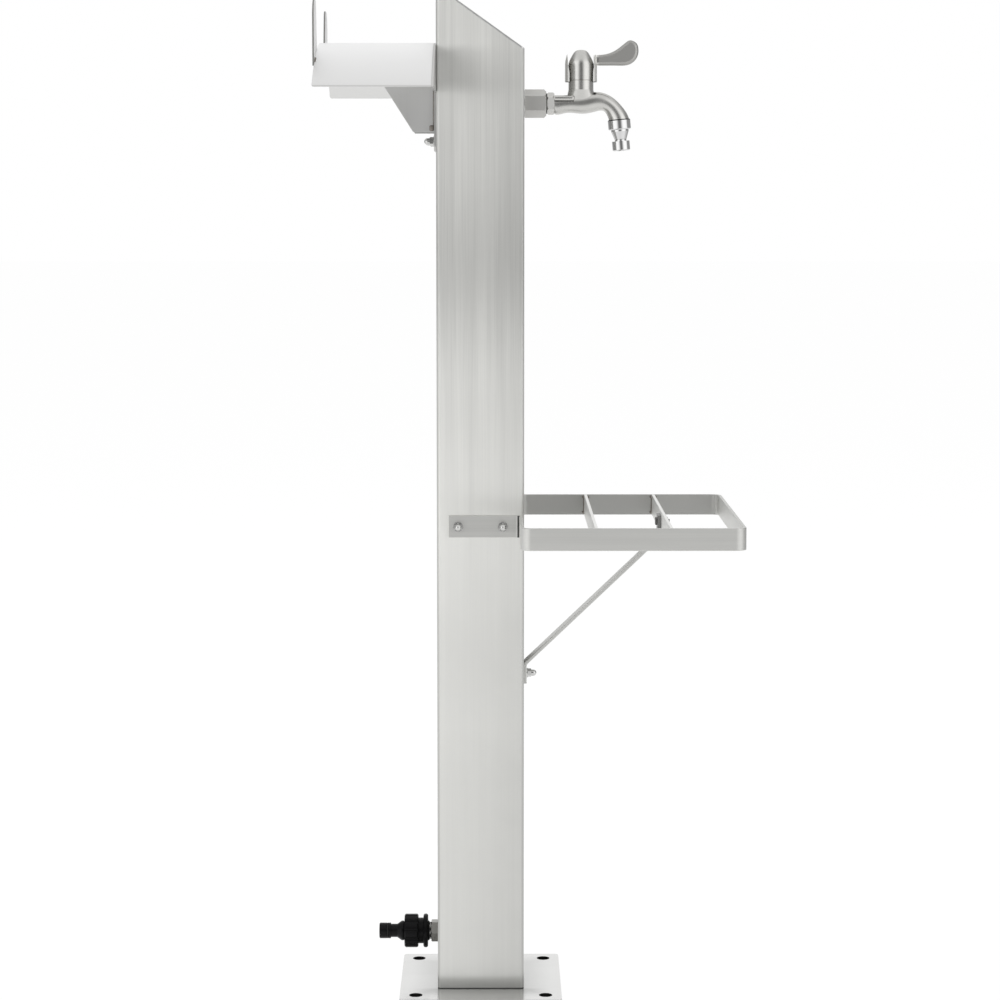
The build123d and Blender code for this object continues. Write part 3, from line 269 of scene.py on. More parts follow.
steelSettings = {
    "turns": {  # of the pattern, in degrees, for each direction of brushing
        "X": (0.0, -90.0, 0.0), "Y": (90.0, 0.0, 0.0), "Z": (0.0, 0.0, 0.0), "strut": (0.0, -43.0, 0.0),
    },
    "calmShare": 0.25, "markSize": 0.06, "markShade": 0.93, "markRoughness": 0.05,
    "roughnessSwing": 0.15, "relief": 0.00006,
}


# Steel brushed along one direction
def brushedSteel(name, colour, roughness, along, contrast=0.10, fine=0.5, streak=0.8, broad=0.8,
                 anisotropic=0.0, marks=0.25, bump=0.10, calm=None):
    s = steelSettings
    material, tree, shader, coordinates = startMaterial(name)
    turn = tree.nodes.new("ShaderNodeMapping")
    turn.inputs["Rotation"].default_value = tuple(math.radians(angle) for angle in s["turns"][along])
    tree.links.new(coordinates, turn.inputs["Vector"])
    amounts = {"Fine": fine, "Streak": streak, "Broad": broad}
    grain = placeGroup(tree, grainGroup, turn.outputs["Vector"], amounts)
    smudge = placeGroup(tree, smudgeGroup, coordinates, {"Size": s["markSize"], "Amount": marks})
    dark = tuple(channel * (1 - contrast) for channel in colour)
    light = tuple(min(1.0, channel * (1 + contrast)) for channel in colour)
    base = mixColour(tree, grain.outputs["Shade"], dark, light)
    if calm:  # heights between which the streaks fade out downwards
        split = tree.nodes.new("ShaderNodeSeparateXYZ")
        tree.links.new(coordinates, split.inputs[0])
        fade = mapRange(tree, split.outputs["Z"], *calm, low=s["calmShare"], soft=True)
        base = mixColour(tree, fade, colour, base)
    dull = tuple(channel * s["markShade"] for channel in colour)
    tree.links.new(mixColour(tree, smudge.outputs["Mask"], base, dull), shader.inputs["Base Color"])
    least, most = roughness * (1 - s["roughnessSwing"]), roughness * (1 + s["roughnessSwing"])
    rough = mapRange(tree, grain.outputs["Roughness"], 0.0, 1.0, least, most)
    rough = mathNode(tree, "ADD", rough, product(tree, smudge.outputs["Mask"], s["markRoughness"]), True)
    tree.links.new(rough, shader.inputs["Roughness"])
    tree.links.new(bumpFrom(tree, grain.outputs["Height"], bump, s["relief"]), shader.inputs["Normal"])
    shader.inputs["Metallic"].default_value = 1.0
    shader.inputs["Anisotropic"].default_value = anisotropic
    return material


platedSettings = {
    "shade": (0.94, 1.04), "markShade": 0.9, "markRoughness": 0.08,
    "speckRoughness": 0.1, "relief": 0.00005,
}


# Plated or polished metal without a grain direction
def platedMetal(name, colour, roughness, marks=0.3, markSize=0.012, bump=0.04, grainScale=900.0):
    s = platedSettings
    material, tree, shader, coordinates = startMaterial(name)
    smudge = placeGroup(tree, smudgeGroup, coordinates, {"Size": markSize, "Amount": marks})
    satin = noiseNode(tree, coordinates, grainScale, 3.0, 0.6)
    tint = scaledVector(tree, colour, mapRange(tree, satin, 0.0, 1.0, *s["shade"]))
    dull = tuple(channel * s["markShade"] for channel in colour)
    tree.links.new(mixColour(tree, smudge.outputs["Mask"], tint, dull), shader.inputs["Base Color"])
    rough = mapRange(tree, smudge.outputs["Mask"], 0.0, 1.0, roughness, roughness + s["markRoughness"])
    rough = mathNode(tree, "ADD", rough, product(tree, smudge.outputs["Specks"], s["speckRoughness"]), True)
    tree.links.new(rough, shader.inputs["Roughness"])
    tree.links.new(bumpFrom(tree, satin, bump, s["relief"]), shader.inputs["Normal"])
    shader.inputs["Metallic"].default_value = 1.0
    return material


plasticSettings = {
    "markSize": 0.01, "dustShare": 1.5, "dustLevel": 0.003,
    "smoother": 0.06, "rougher": 0.08, "speckRoughness": 0.1, "relief": 0.00008,
}


# Moulded plastic or rubber with a fine spark texture
def mouldedPlastic(name, colour, roughness, sparkScale=1400.0, bump=0.25, marks=0.4, specular=0.5):
    s = plasticSettings
    material, tree, shader, coordinates = startMaterial(name)
    spark = noiseNode(tree, coordinates, sparkScale, 3.0, 0.65)
    smudge = placeGroup(tree, smudgeGroup, coordinates, {"Size": s["markSize"], "Amount": marks})
    dusty = tuple(channel * s["dustShare"] + s["dustLevel"] for channel in colour)
    tree.links.new(mixColour(tree, smudge.outputs["Mask"], colour, dusty), shader.inputs["Base Color"])
    rough = mapRange(tree, spark, 0.0, 1.0, roughness - s["smoother"], roughness + s["rougher"])
    rough = mathNode(tree, "ADD", rough, product(tree, smudge.outputs["Specks"], s["speckRoughness"]), True)
    tree.links.new(rough, shader.inputs["Roughness"])
    tree.links.new(bumpFrom(tree, spark, bump, s["relief"]), shader.inputs["Normal"])
    shader.inputs["Specular IOR Level"].default_value = specular
    return material


ceramicSettings = {
    "mottle": 500.0, "warmth": 0.92, "roughness": (0.12, 0.22), "bump": 0.05, "relief": 0.00004,
}


# Lapped ceramic with faint mottling
def lappedCeramic(name, colour):
    s = ceramicSettings
    material, tree, shader, coordinates = startMaterial(name)
    mottle = noiseNode(tree, coordinates, s["mottle"], 4.0, 0.6)
    warm = tuple(channel * s["warmth"] for channel in colour)
    tree.links.new(mixColour(tree, mottle, colour, warm), shader.inputs["Base Color"])
    tree.links.new(mapRange(tree, mottle, 0.0, 1.0, *s["roughness"]), shader.inputs["Roughness"])
    tree.links.new(bumpFrom(tree, mottle, s["bump"], s["relief"]), shader.inputs["Normal"])
    return material


finishes = {
    "column": brushedSteel("columnSteel", (0.725, 0.725, 0.70), 0.36, "Z", contrast=0.20,
                           anisotropic=0.95, bump=0.05, calm=(0.36, 0.68)),
    "cap": brushedSteel("capSteel", (0.70, 0.70, 0.69), 0.32, "Y", contrast=0.08),
    "base": brushedSteel("baseSteel", (0.73, 0.73, 0.72), 0.18, "X", contrast=0.05, marks=0.35,
                         bump=0.04),
    "shelf": brushedSteel("shelfSteel", (0.63, 0.63, 0.61), 0.48, "X", contrast=0.12, bump=0.06),
    # painted light: the cross bars are a lighter copy of the shelf steel
    "bar": brushedSteel("crossBarSteel", (0.86, 0.86, 0.84), 0.44, "Y", contrast=0.12, bump=0.06),
    "strut": brushedSteel("strutSteel", (0.66, 0.66, 0.64), 0.40, "strut", contrast=0.04, fine=0.1,
                          bump=0.01),
    "saddle": brushedSteel("saddleSteel", (0.94, 0.94, 0.94), 0.40, "X", contrast=0.03, streak=0.4,
                           marks=0.15),
    # painted shade: back plate and gussets are darker copies of the saddle's sheet steel
    "saddlePlate": brushedSteel("saddlePlateSteel", (0.62, 0.62, 0.61), 0.40, "Y", contrast=0.05),
    "gusset": brushedSteel("gussetSteel", (0.68, 0.68, 0.67), 0.42, "Z", contrast=0.05, streak=0.4),
    "ear": brushedSteel("earSteel", (0.93, 0.93, 0.93), 0.42, "Z", contrast=0.05),
    "fastener": platedMetal("fastenerSteel", (0.62, 0.62, 0.61), 0.14),
    "washer": platedMetal("washerSteel", (0.62, 0.62, 0.61), 0.24),
    "weld": platedMetal("weldBead", (0.24, 0.22, 0.20), 0.34, marks=0.8, markSize=0.006),
    "stud": platedMetal("studSteel", (0.50, 0.50, 0.49), 0.28),
    "socket": platedMetal("socketNickel", (0.60, 0.595, 0.575), 0.44, marks=0.4),
    "tap": platedMetal("tapNickel", (0.60, 0.595, 0.575), 0.25, marks=0.35),
    "lever": platedMetal("leverNickel", (0.59, 0.585, 0.565), 0.21, marks=0.4),
    "chrome": platedMetal("nozzleChrome", (0.68, 0.68, 0.68), 0.05, marks=0.25, bump=0.01),
    "nipple": platedMetal("nippleNickel", (0.27, 0.265, 0.25), 0.22, marks=0.5),
    # painted light: a near-white copy of the nipple's metal, so the thread reads bright in its slot
    "thread": platedMetal("brightThread", (0.98, 0.98, 0.97), 0.75, marks=0.1),
    # the strut's screw head, painted dark as shade
    "screwHead": platedMetal("stainedScrew", (0.16, 0.155, 0.15), 0.34, marks=0.5),
    "brass": platedMetal("machinedBrass", (0.72, 0.50, 0.22), 0.28, marks=0.5),
    "ferrule": platedMetal("crimpedSleeve", (0.62, 0.62, 0.62), 0.32, marks=0.5),
    "ceramic": lappedCeramic("lappedCeramic", (0.86, 0.85, 0.81)),
    "seal": mouldedPlastic("sealRubber", (0.010, 0.010, 0.010), 0.62, specular=0.3),
    "hose": mouldedPlastic("hoseRubber", (0.03, 0.03, 0.032), 0.58, sparkScale=900.0, bump=0.35),
    "adapter": mouldedPlastic("adapterPlastic", (0.003, 0.003, 0.0033), 0.34, specular=0.12),
    "coupling": mouldedPlastic("couplingPlastic", (0.003, 0.003, 0.0033), 0.27, specular=0.13),
    "tail": mouldedPlastic("tailPlastic", (0.0040, 0.0040, 0.0044), 0.32, specular=0.13),
}


# Puts another finish, a colour and a roughness, where the mask is 1
def finishWhere(finishName, mask, finish):
    colour, roughness = finish
    tree = finishes[finishName].node_tree
    shader = tree.nodes["Principled BSDF"]
    base = shader.inputs["Base Color"].links[0].from_socket
    tree.links.new(mixColour(tree, mask, base, colour), shader.inputs["Base Color"])
    blend = tree.nodes.new("ShaderNodeMix")
    blend.inputs["B"].default_value = roughness
    tree.links.new(mask, blend.inputs["Factor"])
    tree.links.new(shader.inputs["Roughness"].links[0].from_socket, blend.inputs["A"])
    tree.links.new(blend.outputs["Result"], shader.inputs["Roughness"])


# Position on a piece, or its own normal, split in axes
def axesOf(tree, output="Object"):
    split = tree.nodes.new("ShaderNodeSeparateXYZ")
    tree.links.new(tree.nodes["Texture Coordinate"].outputs[output], split.inputs[0])
    return split.outputs


# Distance of a point from an upright line
def distanceFrom(tree, x, y, lineX=0.0, lineY=0.0):
    offX = mathNode(tree, "SUBTRACT", x, lineX)
    offY = mathNode(tree, "SUBTRACT", y, lineY)
    squares = mathNode(tree, "ADD", product(tree, offX, offX), product(tree, offY, offY))
    return mathNode(tree, "SQRT", squares)


baseShade = {
    "boreSpacing": 0.060, "boreRadius": 0.0063, "boreTop": 0.00295,  # laser-cut bores, painted dark inside as shade
    "bore": ((0.03, 0.03, 0.03), 0.7),
    "contactReach": (0.0700, 0.0405), "frontReach": (-0.036, -0.044),  # painted shade and reflection of the column, soft, on the plate beside it
    "aroundAmount": 0.26, "frontAmount": 0.20, "contact": ((0.20, 0.20, 0.195), 0.30),
}


def shadeBase():
    s = baseShade
    tree = finishes["base"].node_tree
    place = axesOf(tree)
    outX = mathNode(tree, "ABSOLUTE", place["X"])
    outY = mathNode(tree, "ABSOLUTE", place["Y"])
    # Painted shade and reflection of the column on the plate round its foot
    near = mapRange(tree, mathNode(tree, "MAXIMUM", outX, outY), *s["contactReach"], soft=True)
    front = mapRange(tree, place["Y"], *s["frontReach"], soft=True)
    amount = mathNode(tree, "ADD", product(tree, front, s["frontAmount"]), s["aroundAmount"])
    finishWhere("base", product(tree, near, amount), s["contact"])
    # Painted shade inside the bores
    reach = distanceFrom(tree, outX, outY, s["boreSpacing"], s["boreSpacing"])
    bore = mathNode(tree, "LESS_THAN", reach, s["boreRadius"])
    below = mathNode(tree, "LESS_THAN", place["Z"], s["boreTop"])
    finishWhere("base", product(tree, bore, below), s["bore"])


columnShade = {
    "heights": (  # painted light and shade: share of the steel's lightness at a height of the column
        (0.03, 0.89), (0.15, 0.93), (0.30, 1.02), (0.46, 1.22),
        (0.56, 1.16), (0.685, 0.88), (0.78, 1.0), (0.86, 1.10),
    ),
    "fullShare": 2.0,  # the ramp's levels are shares of this, so none passes 1
    "sideTilt": 2.0,  # painted light, lighter towards the saddle
    "cloudScale": (26.0, 26.0, 15.0), "cloudNoise": (1.0, 4.0, 0.6), "cloudWaver": 0.012,
    "cloudFoot": (0.826, 0.842), "cloudTop": (0.876, 0.866),
    "rubbedSide": (0.016, -0.042),  # strongest beside the saddle: painted shadow and reflection of the saddle
    "cloudSpread": 0.35, "cloudAmount": 0.46, "cloud": ((0.42, 0.42, 0.405), 0.40),
    # painted shade on the tube's rounded corners
    "cornerReach": (0.0372, 0.0386), "cornerAmount": 0.45, "corner": ((0.40, 0.40, 0.39), 0.40),
    "seamTop": 0.0038, "seam": ((0.17, 0.17, 0.165), 0.6),  # painted shade in the joint between column and base plate
}


# Painted light and shade: steel a little lighter or darker with height and from one side to the other
def shadeByHeight(tree, place):
    s = columnShade
    base = tree.nodes["Principled BSDF"].inputs["Base Color"]
    levels = [(height, share / s["fullShare"]) for height, share in s["heights"]]
    level = greyRamp(tree, place["Z"], levels, "EASE")
    aside = product(tree, place["X"], s["fullShare"] * s["sideTilt"])
    tilt = mathNode(tree, "SUBTRACT", s["fullShare"], aside)
    tree.links.new(scaledVector(tree, base.links[0].from_socket, product(tree, level, tilt)), base)


def shadeColumn():
    s = columnShade
    tree = finishes["column"].node_tree
    place = axesOf(tree)
    coordinates = tree.nodes["Texture Coordinate"].outputs["Object"]
    # Painted shadow and reflection of the saddle below the column's top, with cloudy stains in it
    cloud = noiseNode(tree, stretched(tree, coordinates, s["cloudScale"]), *s["cloudNoise"])
    waver = product(tree, mathNode(tree, "SUBTRACT", cloud, 0.5), s["cloudWaver"])
    edge = mathNode(tree, "ADD", place["Z"], waver)
    above = mapRange(tree, edge, *s["cloudFoot"], soft=True)
    below = mapRange(tree, edge, *s["cloudTop"], soft=True)
    rubbed = mapRange(tree, place["X"], *s["rubbedSide"], soft=True)
    worn = mathNode(tree, "ADD", rubbed, product(tree, cloud, s["cloudSpread"]), True)
    shadeByHeight(tree, place)
    # Painted shade on the tube's rounded corners
    corner = mapRange(tree, mathNode(tree, "ABSOLUTE", place["X"]), *s["cornerReach"], soft=True)
    finishWhere("column", product(tree, corner, s["cornerAmount"]), s["corner"])
    finishWhere("column", product(tree, above, below, worn, s["cloudAmount"]), s["cloud"])
    # Painted shade in the joint at the column's foot
    finishWhere("column", mathNode(tree, "LESS_THAN", place["Z"], s["seamTop"]), s["seam"])


hubShade = {
    "axis": 0.0923,
    "bladeRoot": (0.015, 0.017), "blade": ((0.56, 0.555, 0.535), 0.36),  # blasted, the hub is finer
    # painted shade on the blade's rounded rim
    "rimFacing": (0.998, 0.94), "rim": ((0.40, 0.397, 0.382), 0.44),
    # painted light on the wings beside the hub
    "wingInner": 0.0106, "wingOuter": 0.0144, "wingFacing": 0.3, "wing": ((0.90, 0.895, 0.87), 0.50),
    # painted shade under the wings' feet
    "footFacing": -0.5, "footTop": 0.8456, "footReach": 0.0160, "foot": ((0.01, 0.01, 0.01), 0.8),
}


def shadeHub():
    s = hubShade
    tree = finishes["lever"].node_tree
    place, normal = axesOf(tree), axesOf(tree, "Normal")
    along = mathNode(tree, "SUBTRACT", place["X"], s["axis"])
    facing = mathNode(tree, "ABSOLUTE", normal["Y"])
    blade = mapRange(tree, along, *s["bladeRoot"])
    finishWhere("lever", blade, s["blade"])
    # Painted shade on the blade's rounded rim
    finishWhere("lever", product(tree, blade, mapRange(tree, facing, *s["rimFacing"], soft=True)), s["rim"])
    # Painted light on the wings beside the hub
    outside = mathNode(tree, "GREATER_THAN", mathNode(tree, "ABSOLUTE", along), s["wingInner"])
    wing = product(tree, outside, mathNode(tree, "LESS_THAN", along, s["wingOuter"]),
                   mathNode(tree, "GREATER_THAN", facing, s["wingFacing"]))
    finishWhere("lever", wing, s["wing"])
    # Painted shade under the wings' feet
    reach = distanceFrom(tree, place["X"], place["Y"], s["axis"])
    foot = product(tree, mathNode(tree, "LESS_THAN", normal["Z"], s["footFacing"]),
                   mathNode(tree, "LESS_THAN", place["Z"], s["footTop"]),
                   mathNode(tree, "LESS_THAN", reach, s["footReach"]))
    finishWhere("lever", foot, s["foot"])


tapShade = {
    # painted light on the collar's front face
    "collarEnd": 0.0679, "collarFacing": -0.75, "collar": ((0.80, 0.795, 0.775), 0.46),
    "ribHeight": (0.8244, 0.8257), "ribRun": (0.0677, 0.0858),  # shade under the cast ribs
    "ribAmount": 0.8, "ribFoot": ((0.14, 0.14, 0.135), 0.50),
}


def shadeTap():
    s = tapShade
    tree = finishes["tap"].node_tree
    place, normal = axesOf(tree), axesOf(tree, "Normal")
    # Painted light on the collar's front face
    collar = product(tree, mathNode(tree, "LESS_THAN", place["X"], s["collarEnd"]),
                     mathNode(tree, "LESS_THAN", normal["Y"], s["collarFacing"]))
    finishWhere("tap", collar, s["collar"])
    under = product(tree, within(tree, place["Z"], *s["ribHeight"]), within(tree, place["X"], *s["ribRun"]))
    finishWhere("tap", product(tree, under, s["ribAmount"]), s["ribFoot"])


saddleShade = {
    # painted shade from the crown down to the foot, on the hem and on the inside
    "top": 0.8777, "foot": 0.8327, "side": ((0.81, 0.81, 0.805), 0.42),
    "hemHeight": 0.0016, "hemAmount": 0.8, "hem": ((0.62, 0.62, 0.61), 0.42),
    "insideFacing": -0.2, "inside": ((0.74, 0.74, 0.73), 0.42),
}


# Painted light and shade: lighter at the crown, painted shade on the hem at the foot and on the inside
def shadeSaddle():
    s = saddleShade
    tree = finishes["saddle"].node_tree
    place, normal = axesOf(tree), axesOf(tree, "Normal")
    finishWhere("saddle", mapRange(tree, place["Z"], s["top"], s["foot"]), s["side"])
    hem = mathNode(tree, "LESS_THAN", place["Z"], s["foot"] + s["hemHeight"])
    finishWhere("saddle", product(tree, hem, s["hemAmount"]), s["hem"])
    finishWhere("saddle", mathNode(tree, "LESS_THAN", normal["Z"], s["insideFacing"]), s["inside"])


earShade = {
    "outerFacing": -0.5, "outer": ((0.60, 0.60, 0.59), 0.40),
    "edgeFacing": 0.75, "edge": ((0.30, 0.30, 0.29), 0.42),
}


# Painted shade on the ears' outer faces and narrow edges, their inner faces light
def shadeEars():
    s = earShade
    tree = finishes["ear"].node_tree
    normal = axesOf(tree, "Normal")
    finishWhere("ear", mathNode(tree, "LESS_THAN", normal["X"], s["outerFacing"]), s["outer"])
    facing = mathNode(tree, "ABSOLUTE", normal["X"])
    finishWhere("ear", mathNode(tree, "LESS_THAN", facing, s["edgeFacing"]), s["edge"])


shelfShade = {
    "farSide": 0.125, "farFacing": (-0.5, -0.9), "far": ((0.46, 0.46, 0.445), 0.48),
    "endFacing": (-0.5, -0.95), "end": ((0.84, 0.84, 0.82), 0.48),
    "bendX": (0.0337, 0.0358), "bendY": (0.0425, 0.0500), "bend": ((0.10, 0.10, 0.098), 0.50),
}


# Painted shade inside the far bar, painted light on the end bar, painted shade in the tight bends beside
# the column
def shadeShelf():
    s = shelfShade
    tree = finishes["shelf"].node_tree
    place, normal = axesOf(tree), axesOf(tree, "Normal")
    far = mathNode(tree, "GREATER_THAN", place["Y"], s["farSide"])
    inside = mapRange(tree, normal["Y"], *s["farFacing"], soft=True)
    finishWhere("shelf", product(tree, far, inside), s["far"])
    # Painted light on the end bar's inner face
    finishWhere("shelf", mapRange(tree, normal["X"], *s["endFacing"], soft=True), s["end"])
    out = mathNode(tree, "ABSOLUTE", place["Y"])
    bend = product(tree, within(tree, place["X"], *s["bendX"]), within(tree, out, *s["bendY"]))
    finishWhere("shelf", bend, s["bend"])


# Painted shade on the strut's head
strutShade = {"headFoot": 0.4265, "head": ((0.24, 0.24, 0.235), 0.42)}


def shadeStrut():
    s = strutShade
    tree = finishes["strut"].node_tree
    finishWhere("strut", mathNode(tree, "GREATER_THAN", axesOf(tree)["Z"], s["headFoot"]), s["head"])


threadShade = {"axis": 0.0473, "pitch": 0.0062, "amount": 0.42, "dark": ((0.12, 0.12, 0.12), 0.60)}


# Painted shade in bands along the nipple's thread, one per turn, with the thread's painted light between
def shadeThread():
    s = threadShade
    tree = finishes["thread"].node_tree
    rise = mathNode(tree, "SUBTRACT", axesOf(tree)["Z"], s["axis"])
    wave = mathNode(tree, "COSINE", product(tree, rise, 2 * math.pi / s["pitch"]))
    finishWhere("thread", product(tree, mathNode(tree, "SUBTRACT", 1.0, wave), s["amount"]), s["dark"])


nozzleShade = {
    "spoutEnd": (0.1273, 0.8086), "lean": 5.0, "seamWidth": 0.0009, "seam": ((0.01, 0.01, 0.01), 0.5),
}


# Painted shade in the gap between spout and nozzle, square to the spout's lean
def shadeNozzle():
    s = nozzleShade
    tree = finishes["chrome"].node_tree
    place = axesOf(tree)
    lean = math.radians(s["lean"])
    startX, startZ = s["spoutEnd"]
    alongX = product(tree, mathNode(tree, "SUBTRACT", place["X"], startX), math.sin(lean))
    alongZ = product(tree, mathNode(tree, "SUBTRACT", place["Z"], startZ), -math.cos(lean))
    reach = mathNode(tree, "ADD", alongX, alongZ)
    finishWhere("chrome", mathNode(tree, "LESS_THAN", reach, s["seamWidth"]), s["seam"])


shadeBase()
shadeColumn()
shadeHub()
shadeTap()
shadeSaddle()
shadeEars()
shadeShelf()
shadeStrut()
shadeThread()
shadeNozzle()

finishOf = {
    "base_plate": "base", "column_tube": "column", "column_cap": "cap",
    "weld_studs": "stud", "stud_washers": "washer", "cap_nuts": "fastener",
    "shelf_frame": "shelf", "shelf_bar_inner": "bar", "shelf_bar_outer": "bar", "shelf_strut": "strut",
    "strut_screw": "screwHead", "strut_screw_washer": "washer", "strut_screw_nut": "fastener",
    "saddle_sheet": "saddle", "saddle_back_plate": "saddlePlate",
    "saddle_gusset_front": "gusset", "saddle_gusset_back": "gusset",
    "stop_ear_front": "ear", "stop_ear_back": "ear",
    "socket_washer": "washer", "tap_socket": "socket",
    "socket_lock_washer": "washer", "socket_lock_nut": "brass",
    "tap_seal": "seal", "tap_body": "tap", "tap_cartridge": "brass", "cartridge_o_ring": "seal",
    "disc_fixed": "ceramic", "disc_moving": "ceramic", "tap_spindle": "brass", "spindle_o_ring": "seal",
    "lever_handle": "lever", "lever_set_screw": "stud",
    "spout_nozzle": "chrome", "nozzle_washer": "seal",
    "inlet_nipple": "nipple", "inlet_lock_washer": "washer", "inlet_lock_nut": "brass",
    "coupling_adapter": "adapter", "coupling_nut": "coupling", "coupling_washer": "seal",
    "hose_tail": "tail", "tail_o_ring": "seal", "inlet_elbow": "brass", "outlet_elbow": "brass",
    "hose_nut_lower": "brass", "hose_nut_upper": "brass",
    "hose_ferrule_lower": "ferrule", "hose_ferrule_upper": "ferrule", "supply_hose": "hose",
}
for nodeName, finishName in finishOf.items():
    mesh = cadNodes[nodeName].data
    mesh.materials.clear()
    mesh.materials.append(finishes[finishName])
print("finishes placed on", len(finishOf), "nodes")

bodyOf = {}
for bodyName, nodeNames in frame["record"]["behaviour"]["bodies"].items():
    for nodeName in nodeNames:
        bodyOf[nodeName] = bodyName


def addPiece(pieceName, bm, finishName, bodyName="standpipe"):
    mesh = bpy.data.meshes.new(pieceName)
    bm.to_mesh(mesh)
    bm.free()
    piece = bpy.data.objects.new(pieceName, mesh)
    bpy.context.scene.collection.objects.link(piece)
    mesh.materials.append(finishes[finishName])
    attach(piece, bodyName)
    return piece


# Smooth faces, with edges kept sharp where two faces meet at a larger angle, in degrees
def smoothShaded(bm, sharpAngle=None):
    for face in bm.faces:
        face.smooth = True
    if sharpAngle is not None:
        for edge in bm.edges:
            edge.smooth = edge.calc_face_angle(0.0) < math.radians(sharpAngle)


edgeBreaks = {  # widths of the broken edges of sheet and bar pieces, in millimetres
    "saddle_sheet": 0.35, "saddle_back_plate": 0.30,
    "saddle_gusset_front": 0.30, "saddle_gusset_back": 0.30,
    "stop_ear_front": 0.35, "stop_ear_back": 0.35, "column_cap": 0.35, "shelf_strut": 0.35,
    "shelf_frame": 0.35, "shelf_bar_inner": 0.30, "shelf_bar_outer": 0.30, "base_plate": 0.35,
}
edgeSettings = {  # lengths in millimetres, angles in degrees
    "merge": 0.004, "flatAngle": 0.5, "brokenAngle": 35, "sharpAngle": 40, "segments": 3, "weight": 100,
}


def brokenEdges(nodeName, width):
    s = edgeSettings
    bm = bmesh.new()
    bm.from_mesh(cadNodes[nodeName].data)
    bmesh.ops.remove_doubles(bm, verts=bm.verts, dist=s["merge"] * mm)
    bmesh.ops.dissolve_limit(bm, angle_limit=math.radians(s["flatAngle"]), verts=bm.verts, edges=bm.edges)
    least = math.radians(s["brokenAngle"])
    sharp = [edge for edge in bm.edges if edge.is_manifold and edge.calc_face_angle(0.0) > least]
    bmesh.ops.bevel(bm, geom=sharp, offset=width * mm, offset_type="OFFSET", segments=s["segments"],
                    profile=0.5, affect="EDGES", material=-1, clamp_overlap=True)
    smoothShaded(bm, s["sharpAngle"])
    piece = addPiece(nodeName + "_edged", bm, finishOf[nodeName], bodyOf[nodeName])
    flatten = piece.modifiers.new("evenShading", "WEIGHTED_NORMAL")
    flatten.keep_sharp = True
    flatten.weight = s["weight"]
    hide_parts(nodeName)


for nodeName, width in edgeBreaks.items():
    brokenEdges(nodeName, width)
print("edges broken on", len(edgeBreaks), "sheet pieces")


beadSettings = {"pitch": 1.3, "radius": 1.1, "blobRadius": 2.3, "flatness": 0.75, "segments": 8, "rings": 5}
shelfWelds = {
    "bars": (102.5, 169.0), "halfBar": 1.5, "wall": 134.5, "low": 429.0, "high": 445.0, "blobRun": 1.0,
}
saddleWelds = {
    "plateX": -42.0, "gussetY": 30.0, "halfGusset": 1.0, "gussetLow": 798.0, "gussetHigh": 868.0,
    "footOut": 2.0, "footRun": 3.5,
    "earX": -145.6, "earNear": 88.0, "earFar": 96.0, "earRuns": 3, "archCentre": 652.7, "archRadius": 225.0,
}


# Overlapping flat drops along a line of points, in millimetres
def weldAlong(bm, points, radius):
    s = beadSettings
    for start, end in zip(points, points[1:]):
        start, end = Vector(start), Vector(end)
        run = end - start
        count = max(1, round(run.length / s["pitch"]))
        turn = run.to_track_quat("X", "Z").to_matrix().to_4x4()
        for number in range(count):
            place = Matrix.Translation((start + run * (number + 0.5) / count) * mm)
            shape = place @ turn @ Matrix.Diagonal((s["flatness"], 1.0, 1.0, 1.0))
            bmesh.ops.create_uvsphere(bm, u_segments=s["segments"], v_segments=s["rings"],
                                      radius=radius * mm, matrix=shape)


def makeWelds(pieceName, rows, blobs=()):
    bm = bmesh.new()
    for points in rows:
        weldAlong(bm, points, beadSettings["radius"])
    for points in blobs:
        weldAlong(bm, points, beadSettings["blobRadius"])
    smoothShaded(bm)
    addPiece(pieceName, bm, "weld")


def makeShelfWelds():
    s = shelfWelds
    for barX, pieceName in zip(s["bars"], ("inner_bar_welds", "outer_bar_welds")):
        rows, blobs = [], []
        for side in (-1, 1):
            for face in (-1, 1):
                x, y = barX + face * s["halfBar"], side * s["wall"]
                rows.append([(x, y, s["low"]), (x, y, s["high"])])
                for z in (s["low"], s["high"] - s["blobRun"]):
                    blobs.append([(x, y, z), (x, y, z + s["blobRun"])])
        makeWelds(pieceName, rows, blobs)


def makeSaddleWelds():
    s = saddleWelds
    rows, blobs = [], []
    for side in (-1, 1):
        for face in (-1, 1):
            y = side * s["gussetY"] + face * s["halfGusset"]
            rows.append([(s["plateX"], y, s["gussetLow"]), (s["plateX"], y, s["gussetHigh"])])
        x, y = s["plateX"] - s["footOut"], side * (s["gussetY"] + s["halfGusset"])
        blobs.append([(x, y, s["gussetLow"]), (x, y, s["gussetLow"] + s["footRun"])])
    makeWelds("gusset_welds", rows, blobs)
    rows = []
    for side in (-1, 1):
        points = []
        for step in range(s["earRuns"] + 1):
            y = s["earNear"] + (s["earFar"] - s["earNear"]) * step / s["earRuns"]
            rise = math.sqrt(s["archRadius"] ** 2 - y * y)
            points.append((s["earX"], side * y, s["archCentre"] + rise))
        rows.append(points)
    makeWelds("stop_ear_welds", rows)


makeShelfWelds()
makeSaddleWelds()
print("weld beads laid")


ribSettings = {
    "start": 66.6, "end": 86.0, "side": 6.9, "height": 827.8, "radius": 2.6,
    "segments": 28, "endRound": 0.7, "roundSegments": 5,
}


